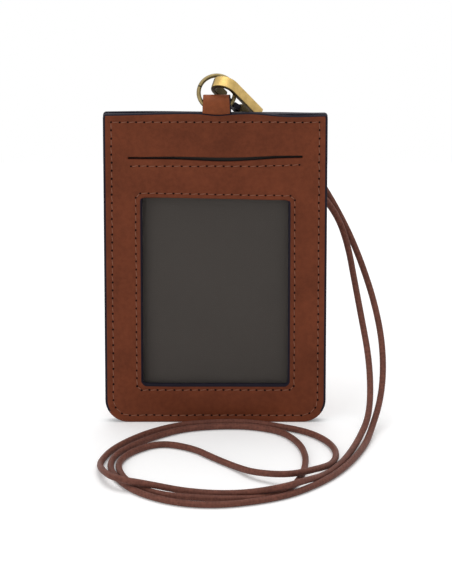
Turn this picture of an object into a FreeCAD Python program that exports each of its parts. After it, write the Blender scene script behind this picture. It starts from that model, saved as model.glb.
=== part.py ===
"""Leather id badge wallet with a snap hook and a cord lanyard, in millimetres.

The wallet stands on its bottom edge: X to the right, Y away from the front, Z up. The origin is the
middle of the bottom edge, halfway through the thickness.
"""
import FreeCAD, Part
import math
import os

import Sketcher
from FreeCAD import Placement, Rotation, Vector

# Driving dimensions, each with what it measures
SIZES = (
    ("wallet_width", 75.0, "width of both panels"),
    ("wallet_height", 109.0, "height of both panels"),
    ("bottom_radius", 8.0, "outer radius of the bottom corners"),
    ("top_radius", 1.2, "outer radius of the top corners"),
    ("panel_thickness", 1.3, "leather of the front and of the back"),
    ("core_thickness", 1.8, "room between the panels"),
    ("welt_width", 5.0, "filler strip round the edge"),
    ("window_side", 12.4, "leather beside the window"),
    ("window_head", 13.95, "leather between the window and the slot"),
    ("window_sill", 13.2, "from the bottom edge to the window"),
    ("window_radius", 1.2, "corner radius of the window"),
    ("slot_side", 8.0, "leather beside the slot"),
    ("slot_opening", 0.9, "gap between the slot's lips"),
    ("slot_drop", 14.9, "from the top edge to the slot's middle"),
    ("film_thickness", 0.3, "clear sheet"),
    ("film_margin", 3.7, "clear sheet beyond the window's edge"),
    ("film_setback", 1.6, "clear sheet's top below the slot"),
    ("lining_thickness", 0.4, "lining on the back panel"),
    ("lining_clearance", 0.3, "lining to the filler strip"),
    ("stitch_pitch", 2.8, "from stitch to stitch"),
    ("stitch_length", 2.0, "thread that shows between two holes"),
    ("stitch_radius", 0.22, "half of the thread's width"),
    ("groove_half", 0.5, "half of the groove for the back's thread"),
    ("groove_depth", 0.25, "groove for the back's thread"),
    ("perimeter_inset", 2.5, "edge seam from the edge"),
    ("window_inset", 1.6, "window seam from the window"),
    ("slot_seam_drop", 2.9, "slot seam below the slot"),
    ("slot_seam_inset", 1.0, "slot seam's end inside the slot's end"),
    ("loop_width", 9.7, "leather loop across"),
    ("loop_offset", 0.5, "leather loop to the right of the middle"),
    ("strap_thickness", 0.8, "leather of the loop"),
    ("eye_radius", 2.4, "inside of the loop's eye"),
    ("eye_rise", 3.2, "eye's middle above the top edge"),
    ("neck_drop", 0.8, "the strap parts this far below the top edge"),
    ("tail_clearance", 0.4, "strap tails above the filler strip's inner edge"),
    ("strap_clearance", 0.1, "strap to the panels and the filler strip"),
    ("ring_radius", 6.05, "ring at the middle of its wire"),
    ("ring_wire_radius", 0.72, "half of the ring's wire"),
    ("ring_lean_angle", 36.0, "degrees that the ring leans back"),
    ("ring_seat_rise", 1.4, "ring's lowest wire above the top edge"),
    ("ring_seat_back", -0.45, "ring's lowest wire behind the middle plane"),
    ("ring_cut", 0.14, "saw cut of the ring"),
    ("ring_cut_angle", 160.0, "degrees round the ring to the saw cut"),
    ("hook_bearing_angle", 41.5, "degrees from X to the hook's length, seen from above"),
    ("hook_dip_angle", 44.5, "degrees that the hook points down"),
    ("hook_roll_angle", -19.0, "degrees that the hook turns about its length"),
    ("hook_slide_angle", 3.0, "degrees down the ring from its right side to the hook"),
    ("hook_slack", 3.7, "ring wire from the bow's middle along the hook"),
    ("hook_side_gap", 0.4, "ring wire to the hook's spine"),
    ("hook_width", 3.8, "hook's band across"),
    ("throat_half", 2.8, "half of the hook's throat"),
    ("leg_thickness", 1.6, "hook's spine, bow and tip"),
    ("tip_length", 4.6, "tip past the bow's middle"),
    ("gate_clearance", 0.25, "tip to gate"),
    ("block_start", 12.4, "bow's middle to the hook's block"),
    ("block_length", 6.0, "hook's block along the hook"),
    ("block_neck", 2.5, "half width of the block's far end"),
    ("fork_floor", 1.85, "fork's floor above the hook's middle line"),
    ("gate_half_width", 1.0, "half of the gate across"),
    ("fork_clearance", 0.1, "gate to each cheek of the fork"),
    ("gate_thickness", 1.45, "gate lever"),
    ("pin_setback", 1.8, "gate pin inside the block"),
    ("pin_rise", 3.45, "gate pin above the hook's middle line"),
    ("pin_radius", 0.6, "gate pin"),
    ("pin_clearance", 0.06, "gate on its pin"),
    ("pin_proud", 0.12, "gate pin out of each cheek"),
    ("tab_start", 3.0, "gate's front end to its thumb tab"),
    ("tab_length", 2.6, "thumb tab along the gate"),
    ("tab_height", 1.0, "thumb tab out of the gate"),
    ("leaf_thickness", 0.2, "gate spring"),
    ("leaf_reach", 2.3, "gate spring out of the block"),
    ("leaf_clearance", 0.1, "gate spring to the gate"),
    ("stud_radius", 0.93, "swivel stud's shank"),
    ("stud_clearance", 0.07, "stud in the hook's tail"),
    ("stud_head_radius", 1.4, "swivel stud's head"),
    ("stud_head_height", 1.0, "swivel stud's head"),
    ("head_clearance", 0.12, "stud head in its counterbore"),
    ("cup_gap", 0.2, "hook's tail to the cup"),
    ("cup_length", 10.4, "cord cup"),
    ("cup_cap", 2.0, "closed end of the cup"),
    ("cup_wall", 0.6, "wall of the cup"),
    ("cord_radius", 1.1, "half of the cord"),
    ("cord_side_gap", 0.1, "between the two strands in the cup"),
    ("cord_cup_clearance", 0.25, "strands to the cup's wall"),
    ("cord_lead", 3.0, "straight cord out of the cup"),
)

# The hook's edges are rounded by this share of its spine
EDGE_SHARE = 0.22
# The slot's ends are rounded by this share of its opening
SLOT_ROUND = 0.45
# Share of the shorter run of cord that an arc takes at each of its ends
ARC_SHARE = 0.45
# The straight run of the route, arcs counted too, where each lead out of the cup ends
LEAD_RUN = 4
# A strand on the floor clears it by this much, and one that crosses over another rises by the hump
FLOOR_GAP = 0.05
HUMP = 2.9

# The cord's route on and above the floor: x, y and the height of its middle above the floor strand
DROP_INNER = (
    (27.0, 19.8, 84.5), (33.9, 25.4, 74.6), (40.2, 27.6, 63.6), (44.4, 24.3, 53.6), (47.6, 18.4, 43.6),
    (50.0, 11.4, 32.6), (51.8, 3.6, 21.2), (52.4, -4.8, 11.4), (51.6, -14.4, 5.0),
)
FLOOR_LOOPS = (
    (49.8, -25.2, 2.0), (46.0, -37.2, 1.2), (40.6, -48.8, 1.7), (33.6, -59.6, HUMP), (24.2, -68.6, HUMP),
    (13.4, -74.2, 2.3), (2.4, -76.2, 1.7), (-8.2, -76.4, HUMP), (-17.0, -76.2, HUMP), (-25.4, -73.4, HUMP),
    (-32.4, -67.8, HUMP), (-37.0, -59.6, 1.2), (-38.8, -49.6, 0), (-37.0, -38.2, 0), (-31.2, -26.6, 0),
    (-22.4, -15.8, 0), (-11.0, -8.6, 0), (2.0, -5.8, 0), (14.0, -5.6, 0), (24.4, -9.8, 0),
    (33.0, -16.4, 0), (38.2, -25.8, 0), (39.6, -36.6, 0), (37.0, -46.6, 0.8), (32.0, -54.0, HUMP),
    (24.6, -58.0, HUMP), (16.0, -57.2, 0.9), (7.8, -52.4, 0), (0.4, -43.8, 0), (-6.6, -35.4, 0),
    (-14.4, -29.8, 0), (-22.0, -30.8, 0), (-27.8, -36.6, 0), (-31.0, -44.8, 0), (-30.8, -53.6, 0),
    (-27.2, -62.6, 0), (-19.6, -71.4, 0), (-9.4, -78.2, 0), (2.4, -81.0, 0), (13.6, -78.4, 0),
    (21.8, -71.0, 0), (27.0, -61.4, 0), (29.6, -50.6, 0), (29.4, -39.4, 0), (26.8, -28.6, 0),
    (21.4, -18.6, 0), (13.0, -11.4, 0), (2.2, -9.4, 0), (-9.0, -13.0, 0), (-18.4, -19.8, 0),
    (-27.0, -28.6, 0), (-33.0, -38.8, 0), (-35.2, -49.6, 0), (-33.4, -60.2, 0), (-28.4, -69.8, 0),
    (-20.6, -78.4, 0), (-10.0, -84.6, 0), (1.8, -86.8, 0), (13.8, -84.2, 0), (24.6, -77.0, 0),
    (34.2, -66.8, 0), (42.2, -54.8, 0), (48.4, -41.8, 0), (52.4, -28.4, 0),
)
DROP_OUTER = (
    (54.6, -16.0, 1.6), (56.8, -6.4, 7.6), (58.2, 1.8, 15.2), (58.0, 9.8, 25.0), (55.6, 17.0, 35.4),
    (52.0, 23.0, 45.4), (47.6, 27.8, 55.4), (42.4, 30.4, 65.0), (35.8, 28.4, 75.6), (28.6, 22.6, 85.4),
)

# Lengths that follow from the driving dimensions, as the sketches take them
WINDOW_WIDTH = "(@wallet_width - 2 * @window_side)"
SLOT_LENGTH = "(@wallet_width - 2 * @slot_side)"
SLOT_RISE = "(@wallet_height - @slot_drop)"
SLOT_FOOT = f"({SLOT_RISE} - @slot_opening / 2)"
WINDOW_HEIGHT = f"({SLOT_FOOT} - @window_head - @window_sill)"

document = FreeCAD.newDocument("id_badge_wallet")
sheet = document.addObject("Spreadsheet::Sheet", "Sizes")
for row, (alias, number, meaning) in enumerate(SIZES, start=1):
    sheet.set(f"A{row}", meaning)
    sheet.set(f"B{row}", str(number))
    sheet.setAlias(f"B{row}", alias)
document.recompute()

pieces = []


def size(alias):
    """A driving dimension, as the sheet holds it."""
    return float(sheet.get(alias))


def window_width():
    return size("wallet_width") - 2 * size("window_side")


def slot_length():
    return size("wallet_width") - 2 * size("slot_side")


def slot_rise():
    return size("wallet_height") - size("slot_drop")


def slot_foot():
    """Height of the slot's lower lip."""
    return slot_rise() - size("slot_opening") / 2


def window_height():
    return slot_foot() - size("window_head") - size("window_sill")


def bind(feature, property_path, expression):
    """Tie one property to the sheet; every alias in the expression is written with a leading @."""
    feature.setExpression(property_path, expression.replace("@", "Sizes."))


def new_body(label):
    body = document.addObject("PartDesign::Body", label)
    body.Label = label
    pieces.append(body)
    return body


def new_sketch(body, name, role, offset=None):
    """A sketch on one of the body's own planes, moved along the plane's normal by an expression."""
    sketch = body.newObject("Sketcher::SketchObject", name)
    plane = next(item for item in body.Origin.OriginFeatures if item.Role == role)
    sketch.AttachmentSupport = [(plane, "")]
    sketch.MapMode = "FlatFace"
    if offset:
        bind(sketch, ".AttachmentOffset.Base.z", offset)
    return sketch


def driven(sketch, name, constraint, expression):
    """Add a dimension to a sketch and tie it to the sheet."""
    index = sketch.addConstraint(constraint)
    sketch.renameConstraint(index, name)
    bind(sketch, f"Constraints.{name}", expression)


def rounded_rectangle(sketch, width, height, base, low_radius, high_radius, prefix=""):
    """A rectangle about the vertical axis with round corners; each size is (value, expression)."""
    half = width[0] / 2
    low = base[0]
    high = low + height[0]
    corners = (
        (half, low, -1, 1, low_radius[0], 270),
        (half, high, -1, -1, high_radius[0], 0),
        (-half, high, 1, -1, high_radius[0], 90),
        (-half, low, 1, 1, low_radius[0], 180),
    )
    arcs = []
    for x, z, inward_x, inward_z, radius, start in corners:
        middle = Vector(x + inward_x * radius, z + inward_z * radius, 0)
        circle = Part.Circle(middle, Vector(0, 0, 1), radius)
        turn = Part.ArcOfCircle(circle, math.radians(start), math.radians(start + 90))
        arcs.append(sketch.addGeometry(turn, False))
    lines = []
    for index, arc in enumerate(arcs):
        start = sketch.getPoint(arc, 2)
        end = sketch.getPoint(arcs[(index + 1) % 4], 1)
        lines.append(sketch.addGeometry(Part.LineSegment(start, end), False))
    for index, line in enumerate(lines):
        following = arcs[(index + 1) % 4]
        sketch.addConstraint(Sketcher.Constraint("Tangent", arcs[index], 2, line, 1))
        sketch.addConstraint(Sketcher.Constraint("Tangent", line, 2, following, 1))
    right, top, left, bottom = lines
    sketch.addConstraint(Sketcher.Constraint("Vertical", right))
    sketch.addConstraint(Sketcher.Constraint("Horizontal", top))
    sketch.addConstraint(Sketcher.Constraint("Vertical", left))
    sketch.addConstraint(Sketcher.Constraint("Horizontal", bottom))
    sketch.addConstraint(Sketcher.Constraint("Equal", arcs[0], arcs[3]))
    sketch.addConstraint(Sketcher.Constraint("Equal", arcs[1], arcs[2]))
    low_turn = Sketcher.Constraint("Radius", arcs[0], low_radius[0])
    high_turn = Sketcher.Constraint("Radius", arcs[1], high_radius[0])
    across = Sketcher.Constraint("DistanceX", left, 1, right, 1, width[0])
    from_middle = Sketcher.Constraint("DistanceX", -1, 1, right, 1, half)
    upward = Sketcher.Constraint("DistanceY", bottom, 1, top, 1, height[0])
    driven(sketch, prefix + "low_radius", low_turn, low_radius[1])
    driven(sketch, prefix + "high_radius", high_turn, high_radius[1])
    driven(sketch, prefix + "width", across, width[1])
    driven(sketch, prefix + "half", from_middle, f"({width[1]}) / 2")
    driven(sketch, prefix + "height", upward, height[1])
    if base[1]:
        above = Sketcher.Constraint("DistanceY", -1, 1, bottom, 1, low)
        driven(sketch, prefix + "base", above, base[1])
    else:
        sketch.addConstraint(Sketcher.Constraint("PointOnObject", bottom, 1, -1))


def wallet_outline(sketch):
    rounded_rectangle(
        sketch,
        (size("wallet_width"), "@wallet_width"),
        (size("wallet_height"), "@wallet_height"),
        (0, None),
        (size("bottom_radius"), "@bottom_radius"),
        (size("top_radius"), "@top_radius"),
    )


def outline_from(sketch, points, arcs=()):
    """A closed outline through points; arcs maps the start of a stretch to a point on its arc."""
    arcs = dict(arcs)
    indices = []
    for index, start in enumerate(points):
        end = points[(index + 1) % len(points)]
        if index in arcs:
            edge = Part.Arc(Vector(*start, 0), Vector(*arcs[index], 0), Vector(*end, 0))
        else:
            edge = Part.LineSegment(Vector(*start, 0), Vector(*end, 0))
        indices.append(sketch.addGeometry(edge, False))
    return indices


def pad(body, name, sketch, length, symmetric=False, backwards=False):
    feature = body.newObject("PartDesign::Pad", name)
    feature.Profile = sketch
    feature.SideType = "Symmetric" if symmetric else "One side"
    feature.Reversed = backwards
    bind(feature, "Length", length)
    return feature


def pocket(body, name, sketch, length, symmetric=False, backwards=False):
    """Cut a sketch out of a body and make sure that something was cut."""
    before = body.Shape.Volume
    feature = body.newObject("PartDesign::Pocket", name)
    feature.Profile = sketch
    feature.SideType = "Symmetric" if symmetric else "One side"
    feature.Reversed = backwards
    bind(feature, "Length", length)
    document.recompute()
    if body.Shape.Volume >= before:
        raise RuntimeError(f"{name} cuts nothing")
    return feature


def strap_angle():
    """Half of the angle at which the strap's two walls part below the eye."""
    return math.asin(size("eye_radius") / (size("eye_rise") + size("neck_drop")))


def strap_bend():
    """Height at which the strap's outer faces leave the flat tails."""
    angle = strap_angle()
    thickness = size("strap_thickness")
    neck = size("wallet_height") - size("neck_drop")
    return neck - thickness * math.sin(angle) + thickness * math.tan(angle / 2) * math.cos(angle)


def bevel_for_strap(body, side):
    """Skive a panel's inner top edge where the strap comes out; side is -1 in front, 1 at the back."""
    sketch = new_sketch(body, body.Label + "_bevel_outline", "YZ_Plane", "@loop_offset")
    top = size("wallet_height") + size("strap_thickness")
    inner = size("core_thickness") / 2
    low = strap_bend() - size("strap_clearance") / math.sin(strap_angle())
    outer = inner + (top - low) * math.tan(strap_angle())
    outline_from(sketch, ((side * inner, low), (side * outer, top), (side * inner, top)))
    document.recompute()
    pocket(body, body.Label + "_bevel", sketch, "@loop_width + 2 * @strap_clearance", symmetric=True)


def make_front_panel():
    body = new_body("front_panel")
    outline = new_sketch(body, "front_outline", "XZ_Plane", "@core_thickness / 2")
    wallet_outline(outline)
    pad(body, "front_leather", outline, "@panel_thickness")
    window = new_sketch(body, "window_outline", "XZ_Plane", "@core_thickness / 2")
    rounded_rectangle(
        window,
        (window_width(), WINDOW_WIDTH),
        (window_height(), WINDOW_HEIGHT),
        (size("window_sill"), "@window_sill"),
        (size("window_radius"), "@window_radius"),
        (size("window_radius"), "@window_radius"),
    )
    slot = new_sketch(body, "slot_outline", "XZ_Plane", "@core_thickness / 2")
    slot_round = size("slot_opening") * SLOT_ROUND
    rounded_rectangle(
        slot,
        (slot_length(), SLOT_LENGTH),
        (size("slot_opening"), "@slot_opening"),
        (slot_foot(), SLOT_FOOT),
        (slot_round, f"@slot_opening * {SLOT_ROUND}"),
        (slot_round, f"@slot_opening * {SLOT_ROUND}"),
    )
    document.recompute()
    pocket(body, "window", window, "@panel_thickness", backwards=True)
    pocket(body, "card_slot", slot, "@panel_thickness", backwards=True)
    bevel_for_strap(body, -1)


def seam_band(sketch, aside, words, prefix):
    """One side of a groove along the edge seam, aside from the thread's own line."""
    inset = size("perimeter_inset") + aside
    rounded_rectangle(
        sketch,
        (size("wallet_width") - 2 * inset, f"@wallet_width - 2 * {words}"),
        (size("wallet_height") - 2 * inset, f"@wallet_height - 2 * {words}"),
        (inset, words),
        (inner_corner(inset), f"max(@bottom_radius - {words}; @top_radius)"),
        (size("stitch_radius"), "@stitch_radius"),
        prefix,
    )


def make_rear_panel():
    body = new_body("rear_panel")
    outline = new_sketch(body, "rear_outline", "XZ_Plane", "-@core_thickness / 2")
    wallet_outline(outline)
    pad(body, "rear_leather", outline, "@panel_thickness", backwards=True)
    groove = new_sketch(body, "groove_outline", "XZ_Plane", "-@core_thickness / 2 - @panel_thickness")
    seam_band(groove, -size("groove_half"), "(@perimeter_inset - @groove_half)", "outer_")
    seam_band(groove, size("groove_half"), "(@perimeter_inset + @groove_half)", "inner_")
    document.recompute()
    pocket(body, "seam_groove", groove, "@groove_depth", backwards=True)
    bevel_for_strap(body, 1)


def inner_corner(inset):
    """Bottom corner radius of a line that runs inside the wallet's edge."""
    return max(size("bottom_radius") - inset, size("top_radius"))


def make_edge_welt():
    body = new_body("edge_welt")
    outline = new_sketch(body, "welt_outline", "XZ_Plane")
    wallet_outline(outline)
    pad(body, "welt_leather", outline, "@core_thickness", symmetric=True)
    inner = new_sketch(body, "welt_inside", "XZ_Plane")
    low = inner_corner(size("welt_width"))
    rounded_rectangle(
        inner,
        (size("wallet_width") - 2 * size("welt_width"), "@wallet_width - 2 * @welt_width"),
        (size("wallet_height") - 2 * size("welt_width"), "@wallet_height - 2 * @welt_width"),
        (size("welt_width"), "@welt_width"),
        (low, "max(@bottom_radius - @welt_width; @top_radius)"),
        (size("top_radius"), "@top_radius"),
    )
    notch = new_sketch(body, "tail_notch_outline", "XZ_Plane")
    half = size("loop_width") / 2 + size("strap_clearance")
    offset = size("loop_offset")
    top = size("wallet_height") + size("strap_thickness")
    low = size("wallet_height") - size("welt_width") - size("strap_thickness")
    outline_from(
        notch, ((offset - half, low), (offset + half, low), (offset + half, top), (offset - half, top))
    )
    document.recompute()
    pocket(body, "card_room", inner, "@core_thickness", symmetric=True)
    pocket(body, "tail_notch", notch, "@core_thickness", symmetric=True)


def make_window_film():
    body = new_body("window_film")
    outline = new_sketch(body, "film_outline", "XZ_Plane", "@core_thickness / 2")
    top = slot_foot() - size("film_setback")
    base = size("window_sill") - size("film_margin")
    base_words = "@window_sill - @film_margin"
    rounded_rectangle(
        outline,
        (window_width() + 2 * size("film_margin"), f"{WINDOW_WIDTH} + 2 * @film_margin"),
        (top - base, f"{SLOT_FOOT} - @film_setback - ({base_words})"),
        (base, base_words),
        (size("window_radius"), "@window_radius"),
        (size("window_radius"), "@window_radius"),
    )
    pad(body, "film_sheet", outline, "@film_thickness", backwards=True)


def make_pocket_lining():
    body = new_body("pocket_lining")
    outline = new_sketch(body, "lining_outline", "XZ_Plane", "-@core_thickness / 2")
    inset = size("welt_width") + size("lining_clearance")
    words = "(@welt_width + @lining_clearance)"
    rounded_rectangle(
        outline,
        (size("wallet_width") - 2 * inset, f"@wallet_width - 2 * {words}"),
        (size("wallet_height") - 2 * inset, f"@wallet_height - 2 * {words}"),
        (inset, words),
        (inner_corner(inset), f"max(@bottom_radius - {words}; @top_radius)"),
        (size("top_radius"), "@top_radius"),
    )
    pad(body, "lining_sheet", outline, "@lining_thickness")


def make_leather_loop():
    """A strap folded round an eye; its two tails lie together between the panels."""
    body = new_body("leather_loop")
    sketch = new_sketch(body, "strap_outline", "YZ_Plane", "@loop_offset")
    angle = strap_angle()
    thickness = size("core_thickness") / 2
    eye = size("eye_radius")
    outer = eye + size("strap_thickness")
    middle = size("wallet_height") + size("eye_rise")
    neck = size("wallet_height") - size("neck_drop")
    bend = strap_bend()
    low = size("wallet_height") - size("welt_width") + size("tail_clearance")
    side = math.cos(angle)
    drop = math.sin(angle)
    outside = outline_from(
        sketch,
        (
            (-thickness, low),
            (thickness, low),
            (thickness, bend),
            (outer * side, middle - outer * drop),
            (-outer * side, middle - outer * drop),
            (-thickness, bend),
        ),
        {3: (0, middle + outer)},
    )
    inside = outline_from(
        sketch,
        ((0, neck), (eye * side, middle - eye * drop), (-eye * side, middle - eye * drop)),
        {1: (0, middle + eye)},
    )
    driven(
        sketch, "fold_radius", Sketcher.Constraint("Radius", outside[3], outer), "@eye_radius + @strap_thickness"
    )
    driven(sketch, "eye", Sketcher.Constraint("Radius", inside[1], eye), "@eye_radius")
    pad(body, "strap", sketch, "@loop_width", symmetric=True)


def inset_path(half_width, low, high, low_radius):
    """A closed seam line: square top corners and round bottom corners, starting at the top left."""
    left = Vector(-half_width, 0, 0)
    right = Vector(half_width, 0, 0)
    up = Vector(0, 0, 1)
    edges = []
    start = left + up * high
    if low_radius > 0:
        diagonal = low_radius * (1 - math.sqrt(0.5))
        left_low = left + up * (low + low_radius)
        left_turn = left + Vector(diagonal, 0, low + diagonal)
        left_foot = left + Vector(low_radius, 0, low)
        right_foot = right + Vector(-low_radius, 0, low)
        right_turn = right + Vector(-diagonal, 0, low + diagonal)
        right_low = right + up * (low + low_radius)
        edges.append(Part.LineSegment(start, left_low).toShape())
        edges.append(Part.Arc(left_low, left_turn, left_foot).toShape())
        edges.append(Part.LineSegment(left_foot, right_foot).toShape())
        edges.append(Part.Arc(right_foot, right_turn, right_low).toShape())
        edges.append(Part.LineSegment(right_low, right + up * high).toShape())
    else:
        edges.append(Part.LineSegment(start, left + up * low).toShape())
        edges.append(Part.LineSegment(left + up * low, right + up * low).toShape())
        edges.append(Part.LineSegment(right + up * low, right + up * high).toShape())
    edges.append(Part.LineSegment(right + up * high, start).toShape())
    return Part.Wire(edges)


def stitches(label, seam, face, outward):
    """Half-round threads on one leather face, spaced evenly along each run of a seam line."""
    length = size("stitch_length")
    thread = Part.makeCylinder(
        size("stitch_radius"), length, Vector(0, 0, -length / 2), Vector(0, 0, 1), 180
    )
    out = Vector(0, outward, 0)
    threads = []
    for run in seam.OrderedEdges:
        holes = run.discretize(Number=round(run.Length / size("stitch_pitch")) + 1)
        for start, end in zip(holes, holes[1:]):
            along = (end - start).normalize()
            frame = Rotation(out.cross(along), out, along, "ZYX")
            one = thread.copy()
            one.Placement = Placement((start + end) / 2 + Vector(0, face, 0), frame)
            threads.append(one)
    feature = document.addObject("Part::Feature", label)
    feature.Label = label
    feature.Shape = Part.Compound(threads)
    pieces.append(feature)


def make_stitching():
    face = size("core_thickness") / 2 + size("panel_thickness")
    inset = size("perimeter_inset")
    edge_seam = inset_path(
        size("wallet_width") / 2 - inset,
        inset,
        size("wallet_height") - inset,
        max(size("bottom_radius") - inset, 0),
    )
    stitches("perimeter_stitching_front", edge_seam, -face, -1)
    stitches("perimeter_stitching_rear", edge_seam, face - size("groove_depth"), 1)
    gap = size("window_inset")
    window_seam = inset_path(
        window_width() / 2 + gap,
        size("window_sill") - gap,
        size("window_sill") + window_height() + gap,
        0,
    )
    stitches("window_stitching", window_seam, -face, -1)
    rise = slot_rise() - size("slot_seam_drop")
    half = slot_length() / 2 - size("slot_seam_inset")
    slot_seam = Part.Wire([Part.LineSegment(Vector(-half, 0, rise), Vector(half, 0, rise)).toShape()])
    stitches("slot_stitching", slot_seam, -face, -1)


def ring_place():
    """The ring's own frame: X across, Y up the leaning ring, Z out of its front."""
    lean = math.radians(size("ring_lean_angle"))
    seat = Vector(size("loop_offset"), size("ring_seat_back"), size("wallet_height") + size("ring_seat_rise"))
    middle = seat + Vector(0, math.sin(lean), math.cos(lean)) * size("ring_radius")
    return Placement(middle, Rotation(Vector(1, 0, 0), 90 - size("ring_lean_angle")))


def make_jump_ring():
    wire = document.addObject("Part::Torus", "ring_wire")
    bind(wire, "Radius1", "@ring_radius")
    bind(wire, "Radius2", "@ring_wire_radius")
    cut = document.addObject("Part::Box", "ring_saw_cut")
    bind(cut, "Length", "4 * @ring_wire_radius")
    bind(cut, "Width", "@ring_cut")
    bind(cut, "Height", "4 * @ring_wire_radius")
    turn = Rotation(Vector(0, 0, 1), size("ring_cut_angle"))
    corner = Vector(
        size("ring_radius") - 2 * size("ring_wire_radius"),
        -size("ring_cut") / 2,
        -2 * size("ring_wire_radius"),
    )
    cut.Placement = Placement(turn.multVec(corner), turn)
    ring = document.addObject("Part::Cut", "jump_ring")
    ring.Label = "jump_ring"
    ring.Base = wire
    ring.Tool = cut
    ring.Placement = ring_place()
    pieces.append(ring)


def hook_place():
    """The hook's own frame: X from bow to swivel, Y from spine to gate, Z across the band."""
    turn = Rotation(size("hook_bearing_angle"), size("hook_dip_angle"), size("hook_roll_angle"))
    slide = math.radians(size("hook_slide_angle"))
    wire = ring_place().multVec(Vector(math.cos(slide), -math.sin(slide), 0) * size("ring_radius"))
    across = size("throat_half") - size("hook_side_gap") - size("ring_wire_radius")
    return Placement(wire - turn.multVec(Vector(size("hook_slack"), -across, 0)), turn)


def pin_point():
    """The gate pin in the hook's own frame."""
    return Vector(size("block_start") + size("pin_setback"), size("pin_rise"), 0)


def block_end():
    return size("block_start") + size("block_length")


def make_hook_body():
    """A cast hook: spine, bow and tip round the throat, and a block with a fork and a swivel bore."""
    body = new_body("hook_body")
    sketch = new_sketch(body, "hook_outline", "XY_Plane")
    inside = size("throat_half")
    outside = inside + size("leg_thickness")
    tip = size("tip_length")
    start = size("block_start")
    end = block_end()
    neck = size("block_neck")
    shoulder = end - (outside - neck)
    nose = tip + size("leg_thickness") / 2
    edges = outline_from(
        sketch,
        (
            (shoulder, -outside),
            (0, -outside),
            (0, outside),
            (tip, outside),
            (tip, inside),
            (0, inside),
            (0, -inside),
            (start, -inside),
            (start, outside),
            (shoulder, outside),
            (end, neck),
            (end, -neck),
        ),
        {1: (-outside, 0), 3: (nose, (inside + outside) / 2), 5: (-inside, 0)},
    )
    driven(
        sketch, "bow", Sketcher.Constraint("Radius", edges[1], outside), "@throat_half + @leg_thickness"
    )
    driven(sketch, "throat", Sketcher.Constraint("Radius", edges[5], inside), "@throat_half")
    cast = pad(body, "hook_cast", sketch, "@hook_width", symmetric=True)
    document.recompute()
    half = size("hook_width") / 2
    rims = []
    for index, edge in enumerate(cast.Shape.Edges, start=1):
        if edge.BoundBox.ZLength < 0.01 and abs(abs(edge.BoundBox.ZMax) - half) < 0.01:
            rims.append(f"Edge{index}")
    soft = body.newObject("PartDesign::Fillet", "hook_soft_edges")
    soft.Base = (cast, rims)
    bind(soft, "Radius", f"@leg_thickness * {EDGE_SHARE}")
    document.recompute()
    fork = new_sketch(body, "fork_outline", "XY_Plane")
    fork_back = pin_point().x + size("gate_thickness") + size("fork_clearance")
    reach = outside + size("leg_thickness")
    before = start - size("leg_thickness")
    floor = size("fork_floor")
    outline_from(fork, ((before, floor), (fork_back, floor), (fork_back, reach), (before, reach)))
    pocket(body, "fork", fork, "2 * (@gate_half_width + @fork_clearance)", symmetric=True)
    hole = new_sketch(body, "pin_hole_outline", "XY_Plane")
    hole.addGeometry(Part.Circle(pin_point(), Vector(0, 0, 1), size("pin_radius")), False)
    driven(hole, "pin_radius", Sketcher.Constraint("Radius", 0, size("pin_radius")), "@pin_radius")
    pocket(body, "pin_hole", hole, "2 * @hook_width", symmetric=True)
    bore = new_sketch(body, "bore_outline", "XY_Plane")
    shank = size("stud_radius") + size("stud_clearance")
    head = size("stud_head_radius") + size("head_clearance")
    sink = start + size("stud_head_height") + size("head_clearance")
    outline_from(
        bore,
        ((before, 0), (end + shank, 0), (end + shank, shank), (sink, shank), (sink, head), (before, head)),
    )
    groove = body.newObject("PartDesign::Groove", "swivel_bore")
    groove.Profile = bore
    groove.ReferenceAxis = (bore, ["H_Axis"])
    groove.Angle = 360
    document.recompute()
    body.Placement = hook_place()


def make_hook_gate():
    """A lever with a round eye on the pin and a thumb tab outside."""
    body = new_body("hook_gate")
    sketch = new_sketch(body, "gate_outline", "XY_Plane")
    pin = pin_point()
    half = size("gate_thickness") / 2
    front = size("tip_length") + size("leg_thickness") / 2 + size("gate_clearance")
    inner = size("throat_half") + size("leg_thickness") - size("gate_thickness")
    outer = inner + size("gate_thickness")
    tab = front + size("tab_start")
    tab_end = tab + size("tab_length")
    peak = outer + size("tab_height")
    eye = size("pin_radius") + half
    shift = math.sqrt(eye ** 2 - (outer - pin.y) ** 2)
    low_shift = math.sqrt(max(eye ** 2 - (inner - pin.y) ** 2, 0))
    outline_from(
        sketch,
        (
            (front, inner),
            (pin.x - low_shift, inner),
            (pin.x - shift, outer),
            (tab_end, outer),
            (tab, outer),
            (front, outer),
        ),
        {1: (pin.x + eye, pin.y), 3: ((tab + tab_end) / 2, peak)},
    )
    hole = Part.Circle(pin, Vector(0, 0, 1), size("pin_radius") + size("pin_clearance"))
    hole_index = sketch.addGeometry(hole, False)
    driven(
        sketch,
        "pin_hole",
        Sketcher.Constraint("Radius", hole_index, size("pin_radius") + size("pin_clearance")),
        "@pin_radius + @pin_clearance",
    )
    pad(body, "gate_lever", sketch, "2 * @gate_half_width", symmetric=True)
    document.recompute()
    body.Placement = hook_place()


def make_gate_pin():
    pin = document.addObject("Part::Cylinder", "gate_pin")
    pin.Label = "gate_pin"
    bind(pin, "Radius", "@pin_radius")
    bind(pin, "Height", "@hook_width + 2 * @pin_proud")
    foot = pin_point() - Vector(0, 0, size("hook_width") / 2 + size("pin_proud"))
    place = hook_place()
    pin.Placement = Placement(place.multVec(foot), place.Rotation)
    pieces.append(pin)


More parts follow.
